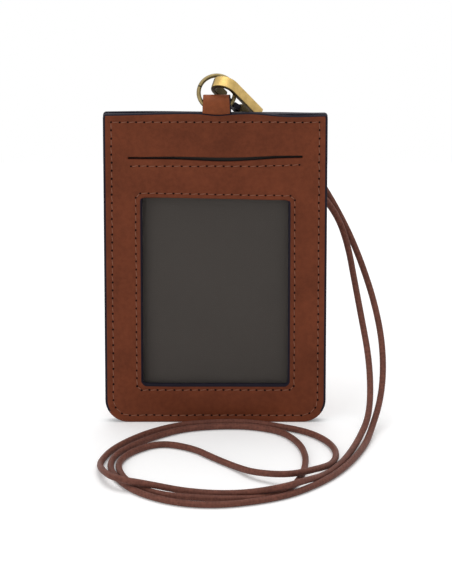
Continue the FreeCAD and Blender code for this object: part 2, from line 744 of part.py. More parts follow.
def make_gate_spring():
    """A bent leaf on the fork's floor that reaches out under the gate."""
    body = new_body("gate_spring")
    sketch = new_sketch(body, "leaf_outline", "XY_Plane")
    leaf = size("leaf_thickness")
    floor = size("fork_floor")
    start = size("block_start")
    back = pin_point().x + size("gate_thickness") / 2
    gate = size("throat_half") + size("leg_thickness") - size("gate_thickness")
    top = gate - size("leaf_clearance")
    reach = start - size("leaf_reach")
    outline_from(
        sketch,
        (
            (back, floor),
            (back, floor + leaf),
            (start, floor + leaf),
            (reach, top),
            (reach - leaf, top - leaf),
            (start - leaf, floor),
        ),
    )
    pad(body, "leaf", sketch, "2 * @gate_half_width", symmetric=True)
    document.recompute()
    body.Placement = hook_place()


def revolve(body, name, sketch):
    feature = body.newObject("PartDesign::Revolution", name)
    feature.Profile = sketch
    feature.ReferenceAxis = (sketch, ["H_Axis"])
    feature.Angle = 360
    document.recompute()


def make_swivel_stud():
    body = new_body("swivel_stud")
    sketch = new_sketch(body, "stud_outline", "XY_Plane")
    start = size("block_start")
    under_head = start + size("stud_head_height")
    end = block_end() + size("cup_gap") + size("cup_cap")
    head = size("stud_head_radius")
    shank = size("stud_radius")
    outline_from(
        sketch, ((start, 0), (end, 0), (end, shank), (under_head, shank), (under_head, head), (start, head))
    )
    revolve(body, "stud_turned", sketch)
    body.Placement = hook_place()


def cup_bore():
    """Inside radius of the cord cup: two strands side by side with room round them."""
    return 2 * size("cord_radius") + size("cord_side_gap") / 2 + size("cord_cup_clearance")


def cup_mouth():
    return block_end() + size("cup_gap") + size("cup_length")


def make_cord_cup():
    body = new_body("cord_cup")
    sketch = new_sketch(body, "cup_outline", "XY_Plane")
    start = block_end() + size("cup_gap")
    floor = start + size("cup_cap")
    mouth = cup_mouth()
    shank = size("stud_radius")
    bore = cup_bore()
    outer = bore + size("cup_wall")
    collar = shank + size("cup_wall")
    outline_from(
        sketch,
        (
            (start, shank),
            (floor, shank),
            (floor, bore),
            (mouth, bore),
            (mouth, outer),
            (floor, outer),
            (start, collar),
        ),
    )
    revolve(body, "cup_turned", sketch)
    body.Placement = hook_place()


def strand_lead(side):
    """Where one strand starts in the cup and where its straight lead ends; side is -1 or 1."""
    aside = side * (size("cord_radius") + size("cord_side_gap") / 2)
    floor = block_end() + size("cup_gap") + size("cup_cap")
    place = hook_place()
    inside = place.multVec(Vector(floor, 0, aside))
    outside = place.multVec(Vector(cup_mouth() + size("cord_lead"), 0, aside))
    return inside, outside


def lifted(points):
    """Route points with heights counted from a strand that lies on the floor."""
    lift = size("cord_radius") + FLOOR_GAP
    return [Vector(x, y, z + lift) for x, y, z in points]


def rounded_route(points):
    """Straight runs joined by tangent arcs, each arc as large as its two runs allow."""
    edges = []
    radii = []
    leave = points[0]
    for before, corner, after in zip(points, points[1:], points[2:]):
        back = before - corner
        ahead = after - corner
        reach = ARC_SHARE * min(back.Length, ahead.Length)
        turn = math.pi - back.getAngle(ahead)
        radius = reach / math.tan(turn / 2)
        back.normalize()
        ahead.normalize()
        enter = corner + back * reach
        inward = (back + ahead).normalize()
        top = corner + inward * (radius / math.cos(turn / 2) - radius)
        edges.append(Part.LineSegment(leave, enter).toShape())
        leave = corner + ahead * reach
        edges.append(Part.Arc(enter, top, leave).toShape())
        radii.append(radius)
    edges.append(Part.LineSegment(leave, points[-1]).toShape())
    return edges, radii


def least_gap(wire):
    """Smallest clear distance between parts of one tube that are not neighbours along it."""
    step = size("cord_radius")
    count = int(wire.Length / step)
    points = wire.discretize(Number=count)
    skip = int(8 * size("cord_radius") / step)
    least = wire.Length
    for index, point in enumerate(points):
        for other in points[index + skip:]:
            least = min(least, point.distanceToPoint(other))
    return least - 2 * size("cord_radius")


def cord_tube(label, edges):
    """Sweep the cord's round section along part of the route."""
    wire = Part.Wire(edges)
    start = edges[0].valueAt(edges[0].FirstParameter)
    along = edges[0].tangentAt(edges[0].FirstParameter)
    section = Part.Wire([Part.makeCircle(size("cord_radius"), start, along)])
    tube = wire.makePipeShell([section], True, False)
    expected = math.pi * size("cord_radius") ** 2 * wire.Length
    print(f"{label}: length {wire.Length:.1f}, volume {tube.Volume:.1f} of {expected:.1f}")
    feature = document.addObject("Part::Feature", label)
    feature.Label = label
    feature.Shape = tube
    pieces.append(feature)
    return wire


def split_run(edge):
    """Cut a straight run in the middle, where two pieces of the cord meet face to face."""
    first, last = edge.Vertexes[0].Point, edge.Vertexes[-1].Point
    middle = (first + last) / 2
    return Part.LineSegment(first, middle).toShape(), Part.LineSegment(middle, last).toShape()


def make_cord():
    """One cord: down from the cup, round the floor loops and back up to the cup."""
    inside, outside = strand_lead(-1)
    far_inside, far_outside = strand_lead(1)
    route = [inside, outside] + lifted(DROP_INNER) + lifted(FLOOR_LOOPS) + lifted(DROP_OUTER)
    route += [far_outside, far_inside]
    edges, radii = rounded_route(route)
    print("cord bend radii", [round(radius, 1) for radius in radii])
    runs = 2 * len(DROP_INNER)
    cuts = (LEAD_RUN, 2 + runs, 2 + runs + 2 * len(FLOOR_LOOPS), len(edges) - 1 - LEAD_RUN)
    stretches = []
    start = 0
    opening = []
    for cut in cuts:
        before, after = split_run(edges[cut])
        stretches.append(opening + edges[start:cut] + [before])
        opening = [after]
        start = cut + 1
    stretches.append(opening + edges[start:])
    lead, down, loops, up, far_lead = stretches
    cord_tube("cord_lead_inner", lead)
    cord_tube("cord_drop_inner", down)
    wire = cord_tube("cord_floor_loops", loops)
    cord_tube("cord_drop_outer", up)
    cord_tube("cord_lead_outer", far_lead)
    print(f"floor loops clear each other by {least_gap(wire):.2f}")


make_front_panel()
make_rear_panel()
make_edge_welt()
make_window_film()
make_pocket_lining()
make_leather_loop()
make_stitching()
make_jump_ring()
make_hook_body()
make_hook_gate()
make_gate_pin()
make_gate_spring()
make_swivel_stud()
make_cord_cup()
make_cord()
document.recompute()

for item in document.Objects:
    if "Invalid" in item.State or "Error" in item.State:
        raise RuntimeError(f"{item.Label} failed: {item.State}")
for piece in pieces:
    if piece.Shape.isNull() or not piece.Shape.isValid():
        raise RuntimeError(f"{piece.Label} has no valid shape")

os.makedirs("parts", exist_ok=True)
for piece in pieces:
    piece.Shape.exportStep(f"parts/{piece.Label}.step")
    print(f"{piece.Label}: {len(piece.Shape.Solids)} solids, {piece.Shape.Volume:.2f} mm3")
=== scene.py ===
"""Looks of the leather badge wallet: leather, thread, film, metal, cord and a plain studio."""
import math
import random

import bmesh
import bpy
from bpy.props import FloatProperty, FloatVectorProperty, PointerProperty
from mathutils import Euler, Matrix, Vector, noise


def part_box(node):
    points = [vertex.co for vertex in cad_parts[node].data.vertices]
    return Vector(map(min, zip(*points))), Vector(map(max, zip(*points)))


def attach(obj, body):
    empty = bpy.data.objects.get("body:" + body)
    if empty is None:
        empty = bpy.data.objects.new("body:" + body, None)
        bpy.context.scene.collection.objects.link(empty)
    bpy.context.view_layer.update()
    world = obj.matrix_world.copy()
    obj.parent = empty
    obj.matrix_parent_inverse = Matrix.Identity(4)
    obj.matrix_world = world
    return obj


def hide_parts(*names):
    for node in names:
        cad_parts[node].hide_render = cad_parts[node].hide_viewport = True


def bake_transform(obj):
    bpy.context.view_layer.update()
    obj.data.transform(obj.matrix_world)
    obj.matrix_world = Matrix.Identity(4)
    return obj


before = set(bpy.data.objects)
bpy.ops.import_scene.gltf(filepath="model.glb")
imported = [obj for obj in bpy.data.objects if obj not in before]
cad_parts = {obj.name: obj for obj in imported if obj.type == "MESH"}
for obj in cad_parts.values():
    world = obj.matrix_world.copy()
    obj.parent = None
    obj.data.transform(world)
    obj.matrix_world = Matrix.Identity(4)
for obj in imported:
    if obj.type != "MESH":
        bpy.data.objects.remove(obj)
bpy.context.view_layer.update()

bl_info = {
    "name": "Badge wallet looks",
    "version": (1, 0, 0),
    "blender": (4, 5, 0),
    "location": "3D View > Sidebar > Badge wallet",
    "description": "Builds the leather, thread, film, metal and cord of a badge wallet on its frame",
    "category": "Object",
}

MM = 0.001
# Points nearer to each other than this count as one
TOUCH = 0.001 * MM
PANEL_LOW, PANEL_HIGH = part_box("rear_panel")
WALLET_HALF = PANEL_HIGH.x
WALLET_FOOT = PANEL_LOW.z
WALLET_TOP = PANEL_HIGH.z


def linear(code):
    """A colour written as six sRGB hex digits, as linear red, green and blue."""
    channels = []
    for start in (0, 2, 4):
        value = int(code[start:start + 2], 16) / 255
        channels.append(value / 12.92 if value <= 0.04045 else ((value + 0.055) / 1.055) ** 2.4)
    return tuple(channels)


def length_property(label, meaning, default):
    """A length that a user may change, in metres."""
    return FloatProperty(name=label, description=meaning, default=default, min=0, unit="LENGTH")


def colour_property(label, meaning, code):
    """A colour that a user may change, written as six hex digits."""
    return FloatVectorProperty(
        name=label, description=meaning, default=linear(code), min=0, max=1, size=3, subtype="COLOR"
    )


class BadgeSizes(bpy.types.PropertyGroup):
    """Sizes of the finish, on top of the frame's own."""

    window_half: length_property("Window half width", "Half of the window", 24.5 * MM)
    window_low: length_property("Window sill", "Height of the window's lower edge", 13.2 * MM)
    window_high: length_property("Window head", "Height of the window's upper edge", 79.7 * MM)
    window_round: length_property("Window corner", "Corner radius of the window", 1.2 * MM)
    slot_half: length_property("Slot half length", "Half of the card slot", 29.2 * MM)
    slot_rise: length_property("Slot height", "Height of the card slot's middle", 94.1 * MM)
    slot_opening: length_property("Slot opening", "Gap between the slot's lips", 0.8 * MM)
    bottom_round: length_property("Bottom corner", "Radius of the bottom corners", 8.0 * MM)
    top_round: length_property("Top corner", "Radius of the top corners", 1.2 * MM)
    edge_round: length_property("Edge rounding", "Radius that sanding gives the cut leather", 0.55 * MM)
    seam_inset: length_property("Edge seam inset", "Edge seam from the edge", 2.5 * MM)
    window_seam: length_property("Window seam inset", "Window seam from the window", 1.6 * MM)
    slot_seam: length_property("Slot seam drop", "Slot seam below the slot", 2.9 * MM)
    stitch_pitch: length_property("Stitch pitch", "From one needle hole to the next", 2.8 * MM)
    thread_width: length_property("Thread width", "Width of the thread that shows", 0.32 * MM)
    hole_radius: length_property("Needle hole", "Radius of a needle hole", 0.42 * MM)
    seam_depth: length_property("Seam depth", "How far a seam pulls the leather in", 0.16 * MM)
    cord_diameter: length_property("Cord", "Diameter of the cord", 2.2 * MM)


class BadgeColours(bpy.types.PropertyGroup):
    """Colours of the finish."""

    leather: colour_property("Leather", "Smooth brown leather of both panels", "6A3520")
    strap: colour_property("Strap leather", "Lighter leather of the loop", "84472A")
    edge: colour_property("Edge paint", "Paint on the cut edges", "1A1721")
    thread: colour_property("Thread", "Waxed thread", "825440")
    hole: colour_property("Needle hole", "Shadow in a needle hole", "140807")
    film: colour_property("Film", "Clear sheet of the window", "060606")
    lining: colour_property("Lining", "Woven lining behind the window", "4F4A46")
    brass: colour_property("Brass", "Satin brass of the hook and the cup", "D0B270")
    antique: colour_property("Antique brass", "Darkened brass of the ring", "8E7E58")
    # Painted shade on the hook's sides and gate side, and the ring's dark saw cut
    painted_shade_and_cut: colour_property("Patina", "Dark patina in the hook's recesses and the ring's saw cut", "1C1914")
    # Gate, pin and leaf spring are near black: painted shade under the hook's band
    steel_shade: colour_property("Blackened steel", "Gate, pin and leaf spring of the hook", "24222A")
    cord: colour_property("Cord", "Round waxed cord", "653D32")
    floor: colour_property("Floor", "Pale studio floor", "F8F8F8")


def sizes():
    """The sizes set in the scene."""
    return bpy.context.scene.badge_sizes


def colours():
    """The colours set in the scene."""
    return bpy.context.scene.badge_colours


# A wave texture of scale 1 repeats after this share of a metre
WAVE_SHARE = math.pi / 10
# Spacing of the lining's threads as drawn, in millimetres
LINING_SPACING = 0.8


def per_mm(size):
    """Texture scale at which one feature is this many millimetres, in metres of object space."""
    return 1 / (size * MM)


def shade(colour, share):
    """A colour as a socket takes it, darker or lighter by a share."""
    return tuple(min(channel * share, 1) for channel in colour) + (1,)


def set_inputs(tree, node, inputs):
    """Give each named input of a node a value, or another node's output."""
    for socket, value in inputs.items():
        if isinstance(value, bpy.types.NodeSocket):
            tree.links.new(value, node.inputs[socket])
        else:
            node.inputs[socket].default_value = value


def add_node(tree, kind, inputs=None, **settings):
    """Add a shader node, set its options and give its inputs their values and links."""
    node = tree.nodes.new("ShaderNode" + kind)
    for option, value in settings.items():
        setattr(node, option, value)
    set_inputs(tree, node, inputs or {})
    return node


def new_material(name):
    """A node material with a Principled shader joined to its output, and its piece's own coordinates."""
    material = bpy.data.materials.new(name)
    material.use_nodes = True
    tree = material.node_tree
    tree.nodes.clear()
    surface = add_node(tree, "BsdfPrincipled")
    add_node(tree, "OutputMaterial", {"Surface": surface.outputs["BSDF"]})
    place = add_node(tree, "TexCoord").outputs["Object"]
    return material, tree, surface, place


def leather_material(name, colour, grain):
    """Vegetable-tanned calf, plated smooth: an even satin, cloudy dye, fine pores and faint wrinkles."""
    material, tree, surface, place = new_material(name)
    clouds, flecks, wrinkles = (
        add_node(
            tree, "TexNoise",
            {"Vector": place, "Scale": per_mm(size), "Detail": detail, "Roughness": rough},
        ).outputs["Fac"]
        for size, detail, rough in ((15, 5, 0.55), (1.6, 3, 0.6), (3.5, 6, 0.65))
    )
    dye, speck, polish = (
        add_node(
            tree, "MapRange",
            {"Value": value, "From Min": start, "From Max": stop, "To Min": low, "To Max": high},
        ).outputs["Result"]
        for value, start, stop, low, high in (
            (clouds, 0.3, 0.7, 0, 1), (flecks, 0.35, 0.65, 0.9, 1.08), (clouds, 0.3, 0.7, 0.6, 0.5),
        )
    )
    body = add_node(
        tree, "Mix", {0: dye, 6: shade(colour, 0.82), 7: shade(colour, 1.18)}, data_type="RGBA"
    )
    tint = add_node(tree, "VectorMath", {0: body.outputs[2], "Scale": speck}, operation="SCALE")
    pores = add_node(
        tree, "TexVoronoi", {"Vector": place, "Scale": per_mm(grain), "Randomness": 1}, feature="F1"
    )
    relief = add_node(tree, "Math", {0: pores.outputs["Distance"], 1: wrinkles}, operation="ADD")
    bump = add_node(tree, "Bump", {"Strength": 0.16, "Distance": 0.12 * MM, "Height": relief.outputs[0]})
    set_inputs(tree, surface, {
        "Base Color": tint.outputs["Vector"], "Roughness": polish, "IOR": 1.48,
        "Normal": bump.outputs["Normal"], "Specular IOR Level": 0.12,
    })
    return material


def mottled_material(name, colour, grain, detail, tones, relief=None):
    """A material whose tone wanders from grain to grain, with a bump of a strength and a depth.

    The grain and the depth are in millimetres, and the tones are the darkest and lightest share of the
    colour.
    """
    material, tree, surface, place = new_material(name)
    grains = add_node(
        tree, "TexNoise", {"Vector": place, "Scale": per_mm(grain), "Detail": detail}
    ).outputs["Fac"]
    dark, light = (shade(colour, share) for share in tones)
    tone = add_node(tree, "Mix", {0: grains, 6: dark, 7: light}, data_type="RGBA")
    set_inputs(tree, surface, {"Base Color": tone.outputs[2]})
    if relief:
        strength, depth = relief
        bump = add_node(tree, "Bump", {"Strength": strength, "Distance": depth * MM, "Height": grains})
        set_inputs(tree, surface, {"Normal": bump.outputs["Normal"]})
    return material, tree, surface


def edge_material():
    """Acrylic edge paint over sanded leather: dark, satin and a little uneven from the roller."""
    material, tree, surface = mottled_material(
        "edge_paint", colours().edge, grain=2.5, detail=3, tones=(0.7, 1.35), relief=(0.3, 0.08)
    )
    set_inputs(tree, surface, {"Roughness": 0.62, "IOR": 1.49, "Specular IOR Level": 0.1})
    return material


def thread_material():
    """Waxed polyester thread: two plies twisted together, with a dull sheen."""
    material, tree, surface = mottled_material(
        "waxed_thread", colours().thread, grain=0.45, detail=2, tones=(0.75, 1.25), relief=(0.4, 0.06)
    )
    set_inputs(tree, surface, {"Roughness": 0.6, "Specular IOR Level": 0.3})
    return material


def hole_material():
    """Punched leather, seen into the hole: painted shade of the hole's depth, drawn as a dark disc."""
    material, tree, surface = mottled_material(
        "needle_hole", colours().hole, grain=0.3, detail=2, tones=(0.6, 1.4)
    )
    set_inputs(tree, surface, {"Roughness": 0.9, "Specular IOR Level": 0.1})
    return material


def film_material():
    """Soft clear vinyl, calendered: nearly see-through and without a gloss, with faint ripples."""
    material, tree, surface, place = new_material("clear_vinyl")
    ripple = add_node(tree, "TexNoise", {"Vector": place, "Scale": per_mm(22), "Detail": 2})
    bump = add_node(
        tree, "Bump", {"Strength": 0.05, "Distance": 0.2 * MM, "Height": ripple.outputs["Fac"]}
    )
    haze = add_node(
        tree, "MapRange",
        {"Value": ripple.outputs["Fac"], "From Min": 0.3, "From Max": 0.7, "To Min": 0.4, "To Max": 0.5},
    )
    set_inputs(tree, surface, {
        "Base Color": shade(colours().film, 1), "Roughness": haze.outputs["Result"], "IOR": 1.53,
        "Alpha": 0.05, "Normal": bump.outputs["Normal"], "Specular IOR Level": 0,
    })
    return material


def lining_material():
    """Plain-woven lining: threads 0.5 mm apart, drawn at 0.8 mm so that the weave shows."""
    material, tree, surface, place = new_material("woven_lining")
    scale = per_mm(LINING_SPACING) * WAVE_SHARE
    warp, weft = (
        add_node(tree, "TexWave", {"Vector": place, "Scale": scale}, bands_direction=direction)
        for direction in ("X", "Z")
    )
    weave = add_node(
        tree, "Math", {0: warp.outputs["Fac"], 1: weft.outputs["Fac"]}, operation="MULTIPLY"
    )
    yarn = add_node(
        tree, "Mix",
        {0: weave.outputs[0], 6: shade(colours().lining, 0.96), 7: shade(colours().lining, 1.04)},
        data_type="RGBA",
    )
    bump = add_node(tree, "Bump", {"Strength": 0.08, "Distance": 0.05 * MM, "Height": weave.outputs[0]})
    set_inputs(tree, surface, {
        "Base Color": yarn.outputs[2], "Roughness": 0.85, "Normal": bump.outputs["Normal"],
        "Specular IOR Level": 0.2,
    })
    return material


def metal_material(name, colour, rough, tarnish, grit):
    """Cast or drawn metal with a tumbled finish; tarnish darkens it in patches."""
    material, tree, surface, place = new_material(name)
    patches = add_node(
        tree, "TexNoise", {"Vector": place, "Scale": per_mm(3), "Detail": 4, "Roughness": 0.6}
    ).outputs["Fac"]
    worn, gloss = (
        add_node(
            tree, "MapRange",
            {"Value": patches, "From Min": start, "From Max": stop, "To Min": low, "To Max": high},
        ).outputs["Result"]
        for start, stop, low, high in ((0.35, 0.65, 0, 1), (0.3, 0.7, rough + 0.08, rough - 0.04))
    )
    tone = add_node(
        tree, "Mix", {0: worn, 6: shade(colour, 1 - tarnish), 7: shade(colour, 1)}, data_type="RGBA"
    )
    tumbled = add_node(tree, "TexNoise", {"Vector": place, "Scale": per_mm(grit), "Detail": 2})
    bump = add_node(
        tree, "Bump", {"Strength": 0.18, "Distance": 0.05 * MM, "Height": tumbled.outputs["Fac"]}
    )
    set_inputs(tree, surface, {
        "Base Color": tone.outputs[2], "Metallic": 1, "Roughness": gloss,
        "Normal": bump.outputs["Normal"],
    })
    return material


def darken(material, mask):
    """Lay a dark colour over a metal where a mask is 1: painted shade on the hook, the dark saw cut on the
    ring.
    """
    tree = material.node_tree
    surface = next(node for node in tree.nodes if node.type == "BSDF_PRINCIPLED")
    bright = surface.inputs["Base Color"].links[0].from_socket
    tone = add_node(tree, "Mix", {0: mask, 6: bright, 7: shade(colours().painted_shade_and_cut, 1)}, data_type="RGBA")
    tree.links.new(tone.outputs[2], surface.inputs["Base Color"])


# The hook's own frame: X from bow to swivel, Y from spine to gate, Z across the band
HOOK_PLACE = Vector((3.226, 2.107, 117.242)) * MM
HOOK_TURN = tuple(math.radians(angle) for angle in (-19.0, 44.5, 41.5))
# Where its band goes over into the block, and how much deeper the painted shade takes the block to be
BLOCK_RUN = (9 * MM, 11 * MM)
BLOCK_DEPTH = 5.4 * MM
# Depth towards the gate over which painted shade sets in, and its strongest share
PAINTED_SHADE_RUN = (1.2 * MM, 2.5 * MM)
PAINTED_SHADE_SHARE = 0.9


def hook_material():
    """Cast brass: the band's outer face bright, with painted shade on its sides and towards its gate and
    block, where shade and dark reflections fall.
    """
    material = metal_material("hook_brass", colours().brass, 0.5, 0.2, 0.35)
    tree = material.node_tree
    coords = add_node(tree, "TexCoord")
    local = add_node(
        tree, "Mapping",
        {"Vector": coords.outputs["Object"], "Location": HOOK_PLACE, "Rotation": HOOK_TURN},
        vector_type="TEXTURE",
    )
    facing = add_node(
        tree, "Mapping", {"Vector": coords.outputs["Normal"], "Rotation": HOOK_TURN},
        vector_type="TEXTURE",
    )
    # Painted shade that deepens towards the gate and down into the block
    spot = add_node(tree, "SeparateXYZ", {0: local.outputs[0]})
    block = add_node(
        tree, "MapRange",
        {
            "Value": spot.outputs["X"], "From Min": BLOCK_RUN[0], "From Max": BLOCK_RUN[1],
            "To Min": 0, "To Max": BLOCK_DEPTH,
        },
    )
    depth = add_node(tree, "Math", {0: spot.outputs["Y"], 1: block.outputs["Result"]}, operation="ADD")
    shade_toward_gate = add_node(
        tree, "MapRange",
        {
            "Value": depth.outputs[0], "From Min": PAINTED_SHADE_RUN[0], "From Max": PAINTED_SHADE_RUN[1],
            "To Min": 0, "To Max": PAINTED_SHADE_SHARE,
        },
    )
    # Painted shade on the faces that turn sideways, on either side of the band
    across = add_node(tree, "SeparateXYZ", {0: facing.outputs[0]}).outputs["Z"]
    sideways = add_node(tree, "Math", {0: across}, operation="ABSOLUTE")
    side = add_node(
        tree, "MapRange",
        {
            "Value": sideways.outputs[0], "From Min": 0.5, "From Max": 0.8,
            "To Min": 0, "To Max": PAINTED_SHADE_SHARE,
        },
    )
    # The painted shade is the stronger of the two
    mask = add_node(
        tree, "Math", {0: shade_toward_gate.outputs["Result"], 1: side.outputs["Result"]}, operation="MAXIMUM"
    )
    darken(material, mask.outputs[0])
    return material


# Middle of the ring's saw cut, the wire's direction there, half of the cut's width with its soft edge,
# and how far from the middle it is drawn
RING_CUT = Vector((-5.185, 4.322, 116.97)) * MM
RING_RUN = (-0.342, -0.553, -0.760)
CUT_HALF = (0.16 * MM, 0.24 * MM)
CUT_REACH = (1.0 * MM, 1.3 * MM)


def ring_material():
    """Drawn brass wire, aged to olive, with a dark saw cut."""
    material = metal_material("aged_brass", colours().antique, 0.42, 0.35, 0.3)
    tree = material.node_tree
    place = add_node(tree, "TexCoord").outputs["Object"]
    aside = add_node(tree, "VectorMath", {0: place, 1: RING_CUT}, operation="SUBTRACT").outputs[0]
    reach = add_node(tree, "VectorMath", {0: aside}, operation="LENGTH").outputs["Value"]
    along = add_node(
        tree, "VectorMath", {0: aside, 1: RING_RUN}, operation="DOT_PRODUCT"
    ).outputs["Value"]
    off = add_node(tree, "Math", {0: along}, operation="ABSOLUTE").outputs[0]
    line = add_node(
        tree, "MapRange",
        {"Value": off, "From Min": CUT_HALF[0], "From Max": CUT_HALF[1], "To Min": 1, "To Max": 0},
    )
    near = add_node(
        tree, "MapRange",
        {"Value": reach, "From Min": CUT_REACH[0], "From Max": CUT_REACH[1], "To Min": 1, "To Max": 0},
    )
    mask = add_node(
        tree, "Math", {0: line.outputs["Result"], 1: near.outputs["Result"]}, operation="MULTIPLY"
    )
    darken(material, mask.outputs[0])
    return material


def cord_material():
    """Round waxed cotton cord: braided sleeve under wax, drawn with 1 mm plaits so that they show."""
    material, tree, surface, place = new_material("waxed_cord")
    plait = add_node(
        tree, "TexVoronoi", {"Vector": place, "Scale": per_mm(1.0), "Randomness": 0.6}, feature="F1"
    )
    bloom = add_node(
        tree, "TexNoise", {"Vector": place, "Scale": per_mm(6), "Detail": 4, "Roughness": 0.6}
    )
    blend = add_node(
        tree, "Math", {0: plait.outputs["Distance"], 1: bloom.outputs["Fac"]}, operation="MULTIPLY"
    )
    wax = add_node(
        tree, "MapRange",
        {"Value": blend.outputs[0], "From Min": 0.05, "From Max": 0.4, "To Min": 0, "To Max": 1},
    )
    tone = add_node(
        tree, "Mix",
        {0: wax.outputs["Result"], 6: shade(colours().cord, 0.72), 7: shade(colours().cord, 1.28)},
        data_type="RGBA",
    )
    bump = add_node(
        tree, "Bump", {"Strength": 0.35, "Distance": 0.12 * MM, "Height": plait.outputs["Distance"]}
    )
    set_inputs(tree, surface, {
        "Base Color": tone.outputs[2], "Roughness": 0.62, "Normal": bump.outputs["Normal"],
        "Specular IOR Level": 0.15, "Sheen Weight": 0.05,
    })
    return material


def get_material(name):
    """A finish by its name, made the first time that a piece asks for it."""
    known = bpy.data.materials.get(name)
    if known:
        return known
    tones = colours()
    makers = {
        # Calf of the panels, and a lighter and finer piece of it for the strap
        "smooth_calf": lambda: leather_material("smooth_calf", tones.leather, 0.5),
        "strap_calf": lambda: leather_material("strap_calf", tones.strap, 0.45),
        "edge_paint": edge_material,
        "waxed_thread": thread_material,
        "needle_hole": hole_material,
        "clear_vinyl": film_material,
        "woven_lining": lining_material,
        # Turned brass, tumbled: warm, with a soft even shine
        "satin_brass": lambda: metal_material("satin_brass", tones.brass, 0.36, 0.2, 0.35),
        "hook_brass": hook_material,
        "aged_brass": ring_material,
        # Steel of the gate, pin and leaf spring, drawn near black as painted shade and dark reflection
        # under the hook's band, with a dull shine
        "steel_painted_shade": lambda: metal_material("steel_painted_shade", tones.steel_shade, 0.45, 0.3, 0.3),
        "waxed_cord": cord_material,
    }
    return makers[name]()


def finish_piece(name, bm, materials, body, nodes):
    """Turn a bmesh into a piece of the wallet that rides on a body and stands for frame nodes."""
    mesh = bpy.data.meshes.new(name)
    bm.to_mesh(mesh)
    bm.free()
    return finish_mesh(name, mesh, materials, body, nodes)


def finish_mesh(name, mesh, materials, body, nodes):
    """Turn a mesh into such a piece; without a body, it is not attached here."""
    for material in materials:
        mesh.materials.append(get_material(material))
    piece = bpy.data.objects.new(name, mesh)
    bpy.context.scene.collection.objects.link(piece)
    if body:
        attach(piece, body)
    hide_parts(*nodes)
    return piece


def smooth_with_creases(bm, degrees):
    """Shade smooth, with a crease wherever two faces meet at more than this angle."""
    limit = math.radians(degrees)
    for face in bm.faces:
        face.smooth = True
    for edge in bm.edges:
        edge.smooth = len(edge.link_faces) == 2 and edge.calc_face_angle(0) < limit


# Cord route in millimetres, from the cup down, round the floor and back up to the cup
HUMP = 2.9
FLOOR_LIFT = 1.15
CUP_INNER = ((13.907, 11.058, 102.028), (19.997, 16.446, 94.037))
CUP_OUTER = ((20.642, 18.016, 95.588), (14.552, 12.628, 103.578))
DROP_INNER = (
    (27.0, 19.8, 84.4), (33.9, 25.4, 74.5), (41.8, 27.6, 63.5), (45.4, 24.3, 53.5), (47.4, 18.4, 43.5),
    (49.7, 11.4, 32.5), (52.1, 3.6, 21.1), (52.7, -4.8, 11.3), (51.7, -14.4, 4.9),
)
FLOOR_LOOPS = (
    (48.4, -23.9, 1.2), (45.1, -35.0, 0.2), (41.4, -45.6, 0), (36.2, -55.7, 0), (30.4, -65.4, 2.2),
    (22.5, -73.8, HUMP), (10.9, -75.5, 1.5), (0.0, -72.3, 0), (-11.1, -70.1, 0.2), (-22.3, -69.8, 2.5),
    (-33.5, -65.8, HUMP), (-37.8, -54.9, 2.0), (-38.3, -43.5, 0), (-35.1, -32.7, 0), (-29.2, -23.0, 0),
    (-21.7, -14.4, 0), (-12.4, -7.8, 0), (-1.3, -5.3, 0), (10.1, -4.7, 0), (20.7, -8.7, 0),
    (30.8, -14.1, 0), (37.7, -23.1, 0), (40.8, -34.2, 0), (39.1, -45.3, 0), (33.0, -54.9, 1.8),
    (23.9, -62.9, HUMP), (13.0, -57.4, 1.6), (6.8, -47.9, 0), (-0.6, -39.4, 0), (-7.5, -30.3, 0),
    (-18.4, -25.1, 0), (-27.7, -33.0, 0), (-32.4, -43.3, 0), (-31.3, -54.7, 0), (-26.7, -65.2, 0),
    (-18.3, -73.0, 0), (-7.2, -75.9, 0), (4.0, -77.0, 0), (15.6, -76.4, 0), (24.2, -69.1, 0),
    (28.1, -58.2, 0), (29.9, -47.1, 0), (30.1, -35.7, 0), (27.9, -24.6, 0), (22.6, -14.4, 0),
    (12.3, -9.2, 0), (1.0, -8.9, 0), (-10.2, -11.3, 0), (-19.4, -18.1, 0), (-26.9, -26.6, 0),
    (-33.3, -36.0, 0), (-35.2, -47.3, 0), (-32.5, -58.3, 0), (-27.5, -68.5, 0), (-19.4, -76.6, 0),
    (-9.2, -81.8, 0), (2.2, -82.5, 0), (13.1, -79.3, 0), (23.3, -74.2, 0), (31.4, -66.3, 0),
    (38.2, -57.2, 0), (43.4, -47.1, 0), (47.4, -36.6, 0), (50.6, -25.5, 0),
)
DROP_OUTER = (
    (52.7, -16.0, 1.5), (55.8, -6.4, 7.5), (57.2, 1.8, 15.1), (56.8, 9.8, 24.9), (54.4, 17.0, 35.3),
    (50.9, 23.0, 45.3), (46.6, 27.8, 55.3), (41.6, 30.4, 64.9), (35.8, 28.4, 75.5), (28.6, 22.6, 85.3),
)
# Lengths along the cord at which its pieces meet, from each end, and where a bend starts and stops
LEAD_LENGTH = 48 * MM
DROP_LENGTH = 129 * MM
# Steps of the cord's line from one point of the route to the next, and roundness of its tube
LINE_STEPS = 10
TUBE_STEPS = 4


def curve_mesh(name, kind, places, **settings):
    """The mesh of a curve of one open spline whose points lie at these places."""
    data = bpy.data.curves.new(name, "CURVE")
    data.dimensions = "3D"
    for option, value in settings.items():
        setattr(data, option, value)
    spline = data.splines.new(kind)
    spline.points.add(len(places) - 1)
    for point, place in zip(spline.points, places):
        point.co = (*place, 1)
    if kind == "NURBS":
        spline.order_u = 3
        spline.use_endpoint_u = True
    holder = bpy.data.objects.new(name, data)
    bpy.context.scene.collection.objects.link(holder)
    bpy.context.view_layer.update()
    mesh = bpy.data.meshes.new_from_object(holder.evaluated_get(bpy.context.evaluated_depsgraph_get()))
    bpy.data.objects.remove(holder)
    bpy.data.curves.remove(data)
    return mesh


